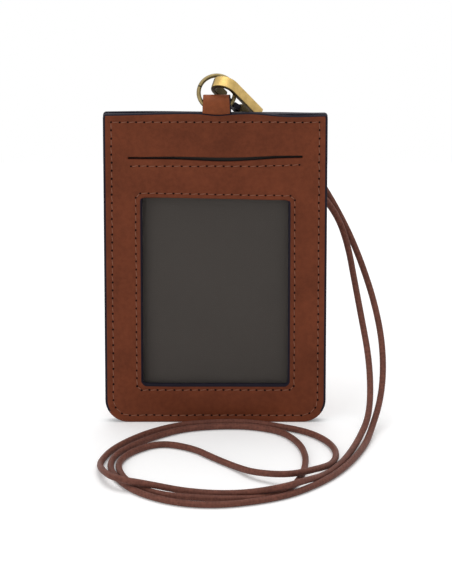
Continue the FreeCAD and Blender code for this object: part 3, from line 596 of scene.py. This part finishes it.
def cord_line():
    """Points along the cord's smooth line, read from a spline whose control points are the route."""
    floor = [(x, y, z + FLOOR_LIFT) for x, y, z in DROP_INNER + FLOOR_LOOPS + DROP_OUTER]
    route = [Vector(place) * MM for place in (*CUP_INNER, *floor, *CUP_OUTER)]
    line = curve_mesh("cord_route", "NURBS", route, resolution_u=LINE_STEPS)
    points = [vertex.co.copy() for vertex in line.vertices]
    bpy.data.meshes.remove(line)
    return points


def lengths_along(points):
    """Length of a line from its start to each of its points."""
    total = 0
    found = [0]
    for start, end in zip(points, points[1:]):
        total += (end - start).length
        found.append(total)
    return found


def cord_tube(name, points, nodes):
    """A round mesh tube that follows part of the cord's line."""
    mesh = curve_mesh(
        name, "POLY", points, bevel_depth=sizes().cord_diameter / 2, bevel_resolution=TUBE_STEPS,
        use_fill_caps=True,
    )
    mesh.name = name
    for face in mesh.polygons:
        face.use_smooth = True
    return finish_mesh(name, mesh, ["waxed_cord"], None, nodes)


class BADGE_OT_cord(bpy.types.Operator):
    """Lay the lanyard cord: two strands out of the cup, two drops and the loops on the floor"""

    bl_idname = "badge.cord"
    bl_label = "Cord"

    def execute(self, context):
        points = cord_line()
        along = lengths_along(points)
        total = along[-1]
        ends = (LEAD_LENGTH, DROP_LENGTH, total - DROP_LENGTH, total - LEAD_LENGTH)
        cuts = [0]
        for end in ends:
            cuts.append(min(range(len(points)), key=lambda index: abs(along[index] - end)))
        cuts.append(len(points) - 1)
        lead, drop, loops, far_drop, far_lead = (
            points[start:stop + 1] for start, stop in zip(cuts, cuts[1:])
        )
        far_drop = far_drop[::-1]
        far_lead = far_lead[::-1]
        for side, top, low in (("inner", lead, drop), ("outer", far_lead, far_drop)):
            piece = cord_tube(f"cord_strand_{side}", top, [f"cord_lead_{side}"])
            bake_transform(piece)
            piece = cord_tube(f"cord_fall_{side}", low, [f"cord_drop_{side}"])
            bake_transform(piece)
        piece = cord_tube("cord_on_floor", loops, ["cord_floor_loops"])
        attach(piece, "wallet")
        return {"FINISHED"}


def corner_distance(x, z, half, low, high, low_round, high_round):
    """Distance inside a round-cornered rectangle about the vertical axis; negative outside."""
    middle = (low + high) / 2
    radius = high_round if z > middle else low_round
    across = abs(x) - (half - radius)
    upward = (z - (high - radius)) if z > middle else ((low + radius) - z)
    outside = math.hypot(max(across, 0), max(upward, 0))
    return radius - outside - min(max(across, upward), 0)


# Corner radius of the slot's ends, as a share of its opening
SLOT_END = 0.45
# Steps round a corner of each cut edge
EDGE_STEPS = 14
WINDOW_STEPS = 5
SLOT_STEPS = 4


def edge_outline():
    """Half width, foot, top and corner radii of the wallet."""
    box = sizes()
    return WALLET_HALF, WALLET_FOOT, WALLET_TOP, box.bottom_round, box.top_round


def window_outline(aside=0):
    """Half width, sill, head and corner radii of the window, with its sides moved out."""
    box = sizes()
    return box.window_half + aside, box.window_low, box.window_high, box.window_round, box.window_round


def slot_outline():
    """Half length, lower lip, upper lip and corner radii of the card slot."""
    box = sizes()
    lip = box.slot_opening / 2
    ends = SLOT_END * box.slot_opening
    return box.slot_half, box.slot_rise - lip, box.slot_rise + lip, ends, ends


def edge_distance(x, z):
    """Distance inside the wallet's edge; negative outside the wallet."""
    return corner_distance(x, z, *edge_outline())


def window_distance(x, z, aside=0):
    """Distance outside the window's edge, with its sides moved out; negative inside the window."""
    return -corner_distance(x, z, *window_outline(aside))


def slot_distance(x, z):
    """Distance outside the slot's edge; negative inside the slot."""
    return -corner_distance(x, z, *slot_outline())


def dip(distance, width):
    """A smooth groove: 1 on its line and 0 a few widths away."""
    return math.exp(-((distance / width) ** 2))


def outline_loop(bm, half, low, high, low_round, high_round, segments):
    """A closed loop of edges with round corners, in the plane y = 0."""
    corners = [
        bm.verts.new(place)
        for place in ((-half, 0, low), (half, 0, low), (half, 0, high), (-half, 0, high))
    ]
    for start, end in zip(corners, corners[1:] + corners[:1]):
        bm.edges.new((start, end))
    for pair, radius in ((corners[:2], low_round), (corners[2:], high_round)):
        bmesh.ops.bevel(
            bm, geom=pair, offset=radius, offset_type="OFFSET", affect="VERTICES", segments=segments,
            profile=0.5, material=-1,
        )


def cut_across(bm, place, normal):
    """Cut every face that a plane meets."""
    bmesh.ops.bisect_plane(
        bm, geom=bm.verts[:] + bm.edges[:] + bm.faces[:], dist=TOUCH, plane_co=place, plane_no=normal
    )


# The window's side seams lie this much further from its edge than those at its head and sill
SEAM_ASIDE = 0.6 * MM
# Widths of the rings that follow every cut edge, in millimetres; the first ones carry edge paint
RING_WIDTHS = (0.14, 0.24, 0.37, 0.2, 0.4)
PAINTED_RINGS = 3
# How far paint laps over a rim, how far at the top, and the height up to which the rim is bare
PAINT_REACH = 0.8 * MM
TOP_PAINT = 0.38 * MM
FOOT_BARE = 4 * MM
# Spacing of the cuts over the whole sheet, and cuts beside a seam's line in millimetres
GRID_STEP = 1.4 * MM
SEAM_CUTS = (-0.9, -0.4, 0, 0.4, 0.9)
# Soft waves of the leather's face, which fade out at its cut edges
WAVE_LENGTH = 17 * MM
WAVE_DEPTH = 0.09 * MM
WAVE_MARGIN = 2 * MM
# Width of the groove that a seam draws along the edge and beside an opening
EDGE_GROOVE = 0.55 * MM
OPENING_GROOVE = 0.5 * MM
# Angle from which two faces of leather meet in a crease, in degrees
LEATHER_CREASE = 50


def takes_paint(x, z):
    """Whether paint laps over the rim: all round but the foot, and at the window's sides and sill."""
    if z - WALLET_FOOT < FOOT_BARE:
        return False
    window = abs(window_distance(x, z)) < PAINT_REACH and z < sizes().window_high
    top = WALLET_TOP - z
    if top < PAINT_REACH and WALLET_HALF - abs(x) > PAINT_REACH:
        return top < TOP_PAINT
    return window or edge_distance(x, z) < PAINT_REACH


def leather_sheet(with_openings):
    """A flat leather sheet at y = 0 with fine faces along its cut edges and its seams."""
    box = sizes()
    half, low, high = WALLET_HALF, WALLET_FOOT, WALLET_TOP
    bm = bmesh.new()
    outline_loop(bm, *edge_outline(), EDGE_STEPS)
    if with_openings:
        outline_loop(bm, *window_outline(), WINDOW_STEPS)
        outline_loop(bm, *slot_outline(), SLOT_STEPS)
    bmesh.ops.triangle_fill(bm, use_beauty=True, edges=bm.edges[:], normal=(0, -1, 0))
    rings = set()
    for index, width in enumerate(RING_WIDTHS):
        inner = [face for face in bm.faces if face not in rings]
        ring = bmesh.ops.inset_region(
            bm, faces=inner, thickness=width * MM, use_boundary=True, use_even_offset=True
        )["faces"]
        rings.update(ring)
        for face in ring:
            middle = face.calc_center_median()
            if index < PAINTED_RINGS and takes_paint(middle.x, middle.z):
                face.material_index = 1
    across = [-half + GRID_STEP * step for step in range(1, int(2 * half / GRID_STEP) + 1)]
    upward = [low + GRID_STEP * step for step in range(1, int((high - low) / GRID_STEP) + 1)]
    for cut in SEAM_CUTS:
        aside = cut * MM
        across += [-half + box.seam_inset + aside, half - box.seam_inset + aside]
        upward += [low + box.seam_inset + aside, high - box.seam_inset + aside]
        if with_openings:
            gap = box.window_seam
            seam = box.window_half + SEAM_ASIDE + gap
            across += [-seam + aside, seam + aside]
            upward += [box.window_low - gap + aside, box.window_high + gap + aside]
            upward += [box.slot_rise - box.slot_seam + aside]
    for normal, places in (((1, 0, 0), across), ((0, 0, 1), upward)):
        for place in places:
            cut_across(bm, Vector(normal) * place, normal)
    return bm


def seam_pull(x, z, with_openings):
    """How far the seams pull the leather in at a point, as a share of the seam depth."""
    box = sizes()
    pull = dip(edge_distance(x, z) - box.seam_inset, EDGE_GROOVE)
    if with_openings:
        pull = max(pull, dip(window_distance(x, z, SEAM_ASIDE) - box.window_seam, OPENING_GROOVE))
        along = max(abs(x) - box.slot_half, 0)
        drop = z - (box.slot_rise - box.slot_seam)
        pull = max(pull, dip(math.hypot(along, drop), OPENING_GROOVE))
    return pull


def leather_sink(x, z, with_openings):
    """How deep the leather's face lies under its highest plane: rounded rims, seams and soft waves."""
    box = sizes()
    distance = edge_distance(x, z)
    if with_openings:
        distance = min(distance, window_distance(x, z), slot_distance(x, z))
    distance = max(distance, 0)
    rim = box.edge_round
    sink = 0
    if distance < rim:
        sink = rim - math.sqrt(rim ** 2 - (rim - distance) ** 2)
    sink += box.seam_depth * seam_pull(x, z, with_openings)
    wave = noise.noise(Vector((x, 0, z)) / WAVE_LENGTH) * WAVE_DEPTH
    return sink + min(distance / WAVE_MARGIN, 1) * (wave + WAVE_DEPTH)


# Swells of edges and seams along the leather, as place, height and width in millimetres
TOP_SWELLS = (
    (-23, 0.25, 13), (-1, 0.9, 19), (0.5, -0.6, 4.5), (2.5, -0.25, 8), (13, 0.3, 6), (25, -0.5, 10),
)
BACK_SWELLS = ((-22, 0.35, 20), (33, -0.2, 8))
SLOT_SWELLS = ((-25, -0.25, 8), (3, -0.42, 13), (21, 0.24, 6), (29.5, 0.22, 5))
LIP_SWELLS = ((-27, 0.22, 9), (3, -0.5, 13), (28, 0.12, 7))
SLOT_SEAM_SWELLS = ((30, 0.55, 8),)
HEAD_SWELLS = ((-25, 0.4, 18), (25, -0.5, 18))
SILL_SWELLS = ((0, 0.6, 60), (-24, 0.25, 6))
# How far from its line each row of swells is felt
TOP_REACH = 1.6 * MM
SLOT_REACH = 5 * MM
LIP_REACH = 1.5 * MM
HEAD_REACH = 5 * MM
SILL_REACH = 1.3 * MM


def swell(x, swells):
    """Height of a row of soft swells at a place along the leather."""
    return sum(height * dip(x - place * MM, width * MM) for place, height, width in swells) * MM


def leather_shift(x, z):
    """How far the front leather's uneven edges lift it at a point."""
    box = sizes()
    shift = swell(x, TOP_SWELLS) * dip(z - WALLET_TOP, TOP_REACH)
    shift += swell(x, SLOT_SWELLS) * dip(z - box.slot_rise, SLOT_REACH)
    shift += swell(x, HEAD_SWELLS) * dip(z - box.window_high, HEAD_REACH)
    shift += swell(x, SILL_SWELLS) * dip(z - box.window_low, SILL_REACH)
    if z < box.slot_rise:
        shift += swell(x, LIP_SWELLS) * dip(z - box.slot_rise, LIP_REACH)
    return shift


def leather_panel(name, node, outward, with_openings):
    """One leather panel: rounded painted edges, seams pulled in and slightly uneven faces."""
    low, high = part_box(node)
    face, back = (low.y, high.y) if outward < 0 else (high.y, low.y)
    bm = leather_sheet(with_openings)
    front = bm.verts[:]
    grown = bmesh.ops.extrude_face_region(bm, geom=bm.faces[:], use_keep_orig=True)["geom"]
    for item in grown:
        if isinstance(item, bmesh.types.BMVert):
            item.co.y = back
    for vert in front:
        vert.co.y = face - outward * leather_sink(vert.co.x, vert.co.z, with_openings)
    for vert in bm.verts:
        if with_openings:
            vert.co.z += leather_shift(vert.co.x, vert.co.z)
        else:
            vert.co.z += swell(vert.co.x, BACK_SWELLS) * dip(vert.co.z - WALLET_TOP, TOP_REACH)
    for item in bm.faces:
        depths = {vert.co.y for vert in item.verts}
        if back in depths and len(depths) > 1:
            item.material_index = 1
    bmesh.ops.recalc_face_normals(bm, faces=bm.faces[:])
    smooth_with_creases(bm, LEATHER_CREASE)
    finish_piece(name, bm, ["smooth_calf", "edge_paint"], "wallet", [node])


class BADGE_OT_leather(bpy.types.Operator):
    """Cut the front leather, with its window and its card slot, and the back leather"""

    bl_idname = "badge.leather"
    bl_label = "Leather"

    def execute(self, context):
        leather_panel("front_leather", "front_panel", -1, True)
        leather_panel("back_leather", "rear_panel", 1, False)
        return {"FINISHED"}


# The edge seam lies this much further in at the sides
SIDE_INSET = 0.3 * MM
# The window's seam cuts across its corners by this much
CORNER_CUT = 1.45 * MM
# The slot's seam stops this far short of the slot's ends
SLOT_SEAM_INSET = 1.0 * MM
# Needle holes: depth, sides, width at the bottom as a share, and how far they stray in millimetres
HOLE_DEPTH = 0.12 * MM
HOLE_SIDES = 8
HOLE_TAPER = 0.8
HOLE_JITTER = 0.1
# Stitches: slant, gap to the hole, height over the leather, sides and bands, crease angle in degrees
THREAD_SLANT = 0.14 * MM
THREAD_MARGIN = 0.3 * MM
THREAD_RISE = 0.16 * MM
THREAD_SIDES = 8
THREAD_BANDS = 6
THREAD_CREASE = 60


def run_of_holes(start, end, pitch):
    """Evenly spaced needle holes from one point to another, without the last one."""
    count = max(round((end - start).length / pitch), 1)
    return [start.lerp(end, step / count) for step in range(count)]


def corner_holes(middle, radius, first, pitch):
    """Needle holes round a quarter of a circle, without the last one."""
    count = max(round(radius * math.pi / 2 / pitch), 1)
    holes = []
    for step in range(count):
        angle = math.radians(first + 90 * step / count)
        holes.append(middle + Vector((math.cos(angle), 0, math.sin(angle))) * radius)
    return holes


def edge_seam_holes():
    """Holes of the edge seam: square corners at the top and round ones at the bottom."""
    box = sizes()
    side = WALLET_HALF - box.seam_inset - SIDE_INSET
    foot = WALLET_FOOT + box.seam_inset
    top = WALLET_TOP - box.seam_inset
    radius = box.bottom_round - box.seam_inset
    pitch = box.stitch_pitch
    holes = run_of_holes(Vector((-side, 0, top)), Vector((-side, 0, foot + radius)), pitch)
    holes += corner_holes(Vector((-side + radius, 0, foot + radius)), radius, 180, pitch)
    holes += run_of_holes(Vector((-side + radius, 0, foot)), Vector((side - radius, 0, foot)), pitch)
    holes += corner_holes(Vector((side - radius, 0, foot + radius)), radius, 270, pitch)
    holes += run_of_holes(Vector((side, 0, foot + radius)), Vector((side, 0, top)), pitch)
    holes += run_of_holes(Vector((side, 0, top)), Vector((-side, 0, top)), pitch)
    return holes + holes[:1]


def window_seam_holes():
    """Holes of the window's seam, straight across the corners."""
    box = sizes()
    side = box.window_half + SEAM_ASIDE + box.window_seam
    foot = box.window_low - box.window_seam
    top = box.window_high + box.window_seam
    cut = CORNER_CUT
    corners = [
        Vector(place)
        for place in (
            (-side, 0, top - cut), (-side, 0, foot + cut), (-side + cut, 0, foot), (side - cut, 0, foot),
            (side, 0, foot + cut), (side, 0, top - cut), (side - cut, 0, top), (-side + cut, 0, top),
        )
    ]
    holes = []
    for index, corner in enumerate(corners):
        holes += run_of_holes(corner, corners[(index + 1) % len(corners)], box.stitch_pitch)
    for hole in holes:
        hole.z += swell(hole.x, HEAD_SWELLS) * dip(hole.z - box.window_high, HEAD_REACH)
    return holes + holes[:1]


def slot_seam_holes():
    """Holes of the seam under the card slot."""
    box = sizes()
    rise = box.slot_rise - box.slot_seam
    reach = box.slot_half - SLOT_SEAM_INSET
    start = Vector((-reach, 0, rise))
    end = Vector((reach, 0, rise))
    holes = run_of_holes(start, end, box.stitch_pitch) + [end]
    for hole in holes:
        hole.z += swell(hole.x, SLOT_SEAM_SWELLS)
    return holes


def sew(name, node, holes, face, outward, seed):
    """Lay a thread from needle hole to needle hole, each stitch a little aslant."""
    box = sizes()
    chance = random.Random(seed)
    shifted = []
    for hole in holes:
        aside, upward = (chance.uniform(-HOLE_JITTER, HOLE_JITTER) for _ in range(2))
        shifted.append(hole + Vector((aside, 0, upward)) * MM)
    closed = (holes[0] - holes[-1]).length < TOUCH
    if closed:
        shifted[-1] = shifted[0]
    out = Vector((0, outward, 0))
    upright = out.to_track_quat("Z", "Y").to_matrix().to_4x4()
    bm = bmesh.new()
    with_openings = outward < 0
    for hole in shifted:
        flat = hole.z - leather_shift(hole.x, hole.z) if with_openings else hole.z
        hole.y = face - outward * leather_sink(hole.x, flat, with_openings)
    for hole in shifted[:-1] if closed else shifted:
        # Each needle hole is a shallow dark cone on the face: painted shade of the hole
        made = bmesh.ops.create_cone(
            bm, cap_ends=True, segments=HOLE_SIDES, radius1=box.hole_radius,
            radius2=box.hole_radius * HOLE_TAPER, depth=HOLE_DEPTH,
            matrix=Matrix.Translation(hole) @ upright,
        )
        for part in {item for vert in made["verts"] for item in vert.link_faces}:
            part.material_index = 1
    for start, end in zip(shifted, shifted[1:]):
        along = (end - start).normalized()
        slant = along.cross(out) * THREAD_SLANT
        first = start + along * THREAD_MARGIN + slant
        last = end - along * THREAD_MARGIN - slant
        run = (last - first).normalized()
        over = run.cross(out).normalized().cross(run)
        turn = Matrix((run.cross(over), run, over)).transposed().to_4x4()
        stretch = Matrix.Diagonal((box.thread_width / 2, (last - first).length / 2, THREAD_RISE, 1))
        bmesh.ops.create_uvsphere(
            bm, u_segments=THREAD_SIDES, v_segments=THREAD_BANDS, radius=1,
            matrix=Matrix.Translation((first + last) / 2) @ turn @ stretch,
        )
    bmesh.ops.recalc_face_normals(bm, faces=bm.faces[:])
    smooth_with_creases(bm, THREAD_CREASE)
    finish_piece(name, bm, ["waxed_thread", "needle_hole"], "wallet", [node])


class BADGE_OT_seams(bpy.types.Operator):
    """Sew the seams: round the edge on both sides, round the window and under the slot"""

    bl_idname = "badge.seams"
    bl_label = "Seams"

    def execute(self, context):
        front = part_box("front_panel")[0].y
        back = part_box("rear_panel")[1].y
        sew("edge_seam_front", "perimeter_stitching_front", edge_seam_holes(), front, -1, 3)
        sew("edge_seam_back", "perimeter_stitching_rear", edge_seam_holes(), back, 1, 5)
        sew("window_seam", "window_stitching", window_seam_holes(), front, -1, 7)
        sew("slot_seam", "slot_stitching", slot_seam_holes(), front, -1, 9)
        return {"FINISHED"}


# The strap's own line: how far each tail lies from the middle plane, and where the walls part
TAIL_ASIDE = 0.45 * MM
STRAP = 0.8 * MM
NECK_DROP = 1.2 * MM
EYE_RADIUS = 2.8 * MM
EYE_RISE = 3.2 * MM
# The walls leave the eye at the angle whose sine is its inside radius over its reach to the neck
EYE_INSIDE = 2.4 * MM
NECK_REACH = 4.0 * MM
WALL_ANGLE = math.asin(EYE_INSIDE / NECK_REACH)
# Cuts across the strap, steps round its eye, its crown as a share, its taper and its softened edges
STRAP_CUTS = 9
STRAP_STEPS = 22
STRAP_CROWN = 0.14
STRAP_TAPER = 0.35 * MM
STRAP_ROUND = 0.18 * MM
STRAP_ROUND_STEPS = 3
# Paint that laps over the face at the strap's right edge
STRAP_PAINT = 0.45 * MM


def extrude_edges_to(bm, edges, place):
    """Extrude a row of edges along X until it reaches a point's height and depth."""
    made = bmesh.ops.extrude_edge_only(bm, edges=edges)["geom"]
    verts = [item for item in made if isinstance(item, bmesh.types.BMVert)]
    for vert in verts:
        vert.co.y = place.y
        vert.co.z = place.z
    return [
        item for item in made
        if isinstance(item, bmesh.types.BMEdge) and all(vert in verts for vert in item.verts)
    ]


class BADGE_OT_loop(bpy.types.Operator):
    """Fold the leather loop that holds the ring"""

    bl_idname = "badge.loop"
    bl_label = "Leather loop"

    def execute(self, context):
        low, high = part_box("leather_loop")
        top = WALLET_TOP
        eye = Vector((0, 0, top + EYE_RISE))
        bm = bmesh.new()
        ends = [bm.verts.new((x, -TAIL_ASIDE, low.z)) for x in (low.x, high.x)]
        edges = [bm.edges.new(ends)]
        bmesh.ops.subdivide_edges(bm, edges=edges, cuts=STRAP_CUTS)
        edges = bm.edges[:]
        reach = Vector((0, -math.cos(WALL_ANGLE), -math.sin(WALL_ANGLE))) * EYE_RADIUS
        for stop in (Vector((0, -TAIL_ASIDE, top - NECK_DROP)), eye + reach):
            edges = extrude_edges_to(bm, edges, stop)
        verts = {vert for edge in edges for vert in edge.verts}
        spun = bmesh.ops.spin(
            bm, geom=[*edges, *verts], cent=eye, axis=(1, 0, 0), angle=-(math.pi + 2 * WALL_ANGLE),
            steps=STRAP_STEPS,
        )["geom_last"]
        edges = [item for item in spun if isinstance(item, bmesh.types.BMEdge)]
        for stop in (Vector((0, TAIL_ASIDE, top - NECK_DROP)), Vector((0, TAIL_ASIDE, low.z))):
            edges = extrude_edges_to(bm, edges, stop)
        cut_across(bm, (high.x - STRAP_PAINT, 0, 0), (1, 0, 0))
        for face in bm.faces:
            if face.calc_center_median().x > high.x - STRAP_PAINT:
                face.material_index = 1
        middle = (low.x + high.x) / 2
        half = (high.x - low.x) / 2
        for vert in bm.verts:
            if vert.co.z > top - NECK_DROP / 2:
                aside = (vert.co.x - middle) / half
                vert.co.y *= 1 - STRAP_CROWN * aside ** 2
                vert.co.x -= aside * STRAP_TAPER * (vert.co.z - top) / (high.z - top)
        bmesh.ops.recalc_face_normals(bm, faces=bm.faces[:])
        piece = finish_piece(
            "strap_loop", bm, ["strap_calf", "edge_paint"], "wallet", ["leather_loop"]
        )
        wall = piece.modifiers.new("strap_wall", "SOLIDIFY")
        wall.thickness = STRAP
        wall.offset = 0
        wall.use_even_offset = True
        wall.material_offset_rim = 1
        soft = piece.modifiers.new("strap_edges", "BEVEL")
        soft.width = STRAP_ROUND
        soft.segments = STRAP_ROUND_STEPS
        soft.limit_method = "ANGLE"
        soft.angle_limit = math.radians(LEATHER_CREASE)
        for face in piece.data.polygons:
            face.use_smooth = True
        return {"FINISHED"}


def dress(node, material):
    """Give a frame node its finish."""
    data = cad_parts[node].data
    data.materials.clear()
    data.materials.append(get_material(material))


class BADGE_OT_inside(bpy.types.Operator):
    """Finish what lies between the panels: filler strip, clear film and lining"""

    bl_idname = "badge.inside"
    bl_label = "Pocket"

    def execute(self, context):
        dress("edge_welt", "edge_paint")
        dress("window_film", "clear_vinyl")
        dress("pocket_lining", "woven_lining")
        return {"FINISHED"}


class BADGE_OT_metal(bpy.types.Operator):
    """Finish the ring, the snap hook and the cord cup"""

    bl_idname = "badge.metal"
    bl_label = "Metal"

    def execute(self, context):
        for node in ("hook_body", "swivel_stud"):
            dress(node, "hook_brass")
        dress("cord_cup", "satin_brass")
        # Gate and pin near black: painted shade under the hook's band
        for node in ("hook_gate", "gate_pin"):
            dress(node, "steel_painted_shade")
        dress("jump_ring", "aged_brass")
        return {"FINISHED"}


# Cuts along each edge of the leaf spring's faces
LEAF_CUTS = 4


class BADGE_OT_leaf(bpy.types.Operator):
    """Copy the leaf spring, with its faces cut finer"""

    bl_idname = "badge.leaf"
    bl_label = "Leaf spring"

    def execute(self, context):
        bm = bmesh.new()
        bm.from_mesh(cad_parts["gate_spring"].data)
        bmesh.ops.remove_doubles(bm, verts=bm.verts[:], dist=TOUCH)
        bmesh.ops.subdivide_edges(bm, edges=bm.edges[:], cuts=LEAF_CUTS, use_grid_fill=True)
        # The leaf spring near black too: painted shade under the hook's band
        piece = finish_piece(
            "spring_leaf", bm, ["steel_painted_shade"], None, ["gate_spring"]
        )
        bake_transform(piece)
        return {"FINISHED"}


# Camera that stands where the photograph was taken; its lens and sensor are in millimetres
CAMERA_AIM = Vector((3.571, -2.2, 46.868)) * MM
CAMERA_DISTANCE = 1.5
CAMERA_RISE = math.radians(18.6)
CAMERA_LENS = 273.96
SENSOR_HEIGHT = 36
# Floor, and how much lighter than its own shade it looks to the camera
FLOOR_HALF = 0.3
FLOOR_GLOW = 0.14
# Light from all round, and lamps with their place, width and power
WORLD_LEVEL = 0.5
LAMP_AIM = Vector((0, 0, 0.05))
LAMPS = (
    ("soft_key", (-0.8, -0.8, 0.5), 1.0, 4.4),
    ("soft_top", (0.03, 0.03, 1.0), 0.8, 5.0),
    ("soft_back", (0.1, 0.9, 0.5), 0.8, 2.0),
)


def area_light(name, place, width, power):
    """Hang a soft square lamp that points at the wallet."""
    data = bpy.data.lights.new(name, "AREA")
    data.shape = "SQUARE"
    data.size = width
    data.energy = power
    lamp = bpy.data.objects.new(name, data)
    lamp.location = place
    lamp.rotation_euler = (LAMP_AIM - Vector(place)).to_track_quat("-Z", "Y").to_euler()
    bpy.context.scene.collection.objects.link(lamp)


def seen_directly(tree):
    """1 on rays that show the background itself: from the camera, off metal and through film."""
    ray = add_node(tree, "LightPath")
    seen = ray.outputs["Is Camera Ray"]
    for kind in ("Is Glossy Ray", "Is Transmission Ray"):
        both = add_node(tree, "Math", {0: seen, 1: ray.outputs[kind]}, operation="MAXIMUM")
        seen = both.outputs[0]
    return seen


class BADGE_OT_stage(bpy.types.Operator):
    """Set the camera, the soft studio light and the pale floor"""

    bl_idname = "badge.stage"
    bl_label = "Studio"

    def execute(self, context):
        scene = context.scene
        scene.view_settings.view_transform = "Standard"
        data = bpy.data.cameras.new("studio_camera")
        data.sensor_fit = "VERTICAL"
        data.sensor_height = SENSOR_HEIGHT
        data.lens = CAMERA_LENS
        camera = bpy.data.objects.new("studio_camera", data)
        line = Vector((0, math.cos(CAMERA_RISE), -math.sin(CAMERA_RISE)))
        camera.location = CAMERA_AIM - line * CAMERA_DISTANCE
        camera.rotation_euler = line.to_track_quat("-Z", "Y").to_euler()
        scene.collection.objects.link(camera)
        scene.camera = camera
        self.light_world(scene)
        for lamp in LAMPS:
            area_light(*lamp)
        self.lay_floor(scene)
        return {"FINISHED"}

    def light_world(self, scene):
        """Light the wallet evenly from all round, against a white background."""
        world = bpy.data.worlds.new("studio_world")
        world.use_nodes = True
        scene.world = world
        tree = world.node_tree
        tree.nodes.clear()
        level = add_node(
            tree, "MapRange", {"Value": seen_directly(tree), "To Min": WORLD_LEVEL, "To Max": 1}
        )
        sky = add_node(tree, "Background", {"Color": (1, 1, 1, 1), "Strength": level.outputs["Result"]})
        add_node(tree, "OutputWorld", {"Surface": sky.outputs["Background"]})

    def lay_floor(self, scene):
        """Lay matt white paper, which keeps the wallet's shadow."""
        material, tree, surface, _ = new_material("studio_floor")
        glow = add_node(tree, "Math", {0: seen_directly(tree), 1: FLOOR_GLOW}, operation="MULTIPLY")
        set_inputs(tree, surface, {
            "Base Color": shade(colours().floor, 1), "Roughness": 0.9, "Specular IOR Level": 0,
            "Emission Color": (1, 1, 1, 1), "Emission Strength": glow.outputs[0],
        })
        bm = bmesh.new()
        bmesh.ops.create_grid(bm, x_segments=1, y_segments=1, size=FLOOR_HALF)
        mesh = bpy.data.meshes.new("studio_floor")
        bm.to_mesh(mesh)
        bm.free()
        mesh.materials.append(material)
        floor = bpy.data.objects.new("studio_floor", mesh)
        scene.collection.objects.link(floor)


OPERATORS = (
    BADGE_OT_stage,
    BADGE_OT_cord,
    BADGE_OT_leather,
    BADGE_OT_inside,
    BADGE_OT_loop,
    BADGE_OT_seams,
    BADGE_OT_metal,
    BADGE_OT_leaf,
)


class BADGE_PT_panel(bpy.types.Panel):
    """Sidebar panel with the wallet's pieces, sizes and colours"""

    bl_idname = "BADGE_PT_panel"
    bl_label = "Badge wallet"
    bl_space_type = "VIEW_3D"
    bl_region_type = "UI"
    bl_category = "Badge wallet"

    def draw(self, context):
        for operator in OPERATORS:
            self.layout.operator(operator.bl_idname)
        for group in (context.scene.badge_sizes, context.scene.badge_colours):
            column = self.layout.column()
            for name in group.__annotations__:
                column.prop(group, name)


CLASSES = (BadgeSizes, BadgeColours, *OPERATORS, BADGE_PT_panel)


def register():
    """Register the classes and give the scene its sizes and colours."""
    for item in CLASSES:
        bpy.utils.register_class(item)
    bpy.types.Scene.badge_sizes = PointerProperty(type=BadgeSizes)
    bpy.types.Scene.badge_colours = PointerProperty(type=BadgeColours)


def unregister():
    """Take the sizes, the colours and the classes away again."""
    del bpy.types.Scene.badge_colours
    del bpy.types.Scene.badge_sizes
    for item in reversed(CLASSES):
        bpy.utils.unregister_class(item)


def main():
    """Build every piece in order."""
    register()
    for operator in OPERATORS:
        group, name = operator.bl_idname.split(".")
        getattr(getattr(bpy.ops, group), name)()


if __name__ == "__main__":
    main()
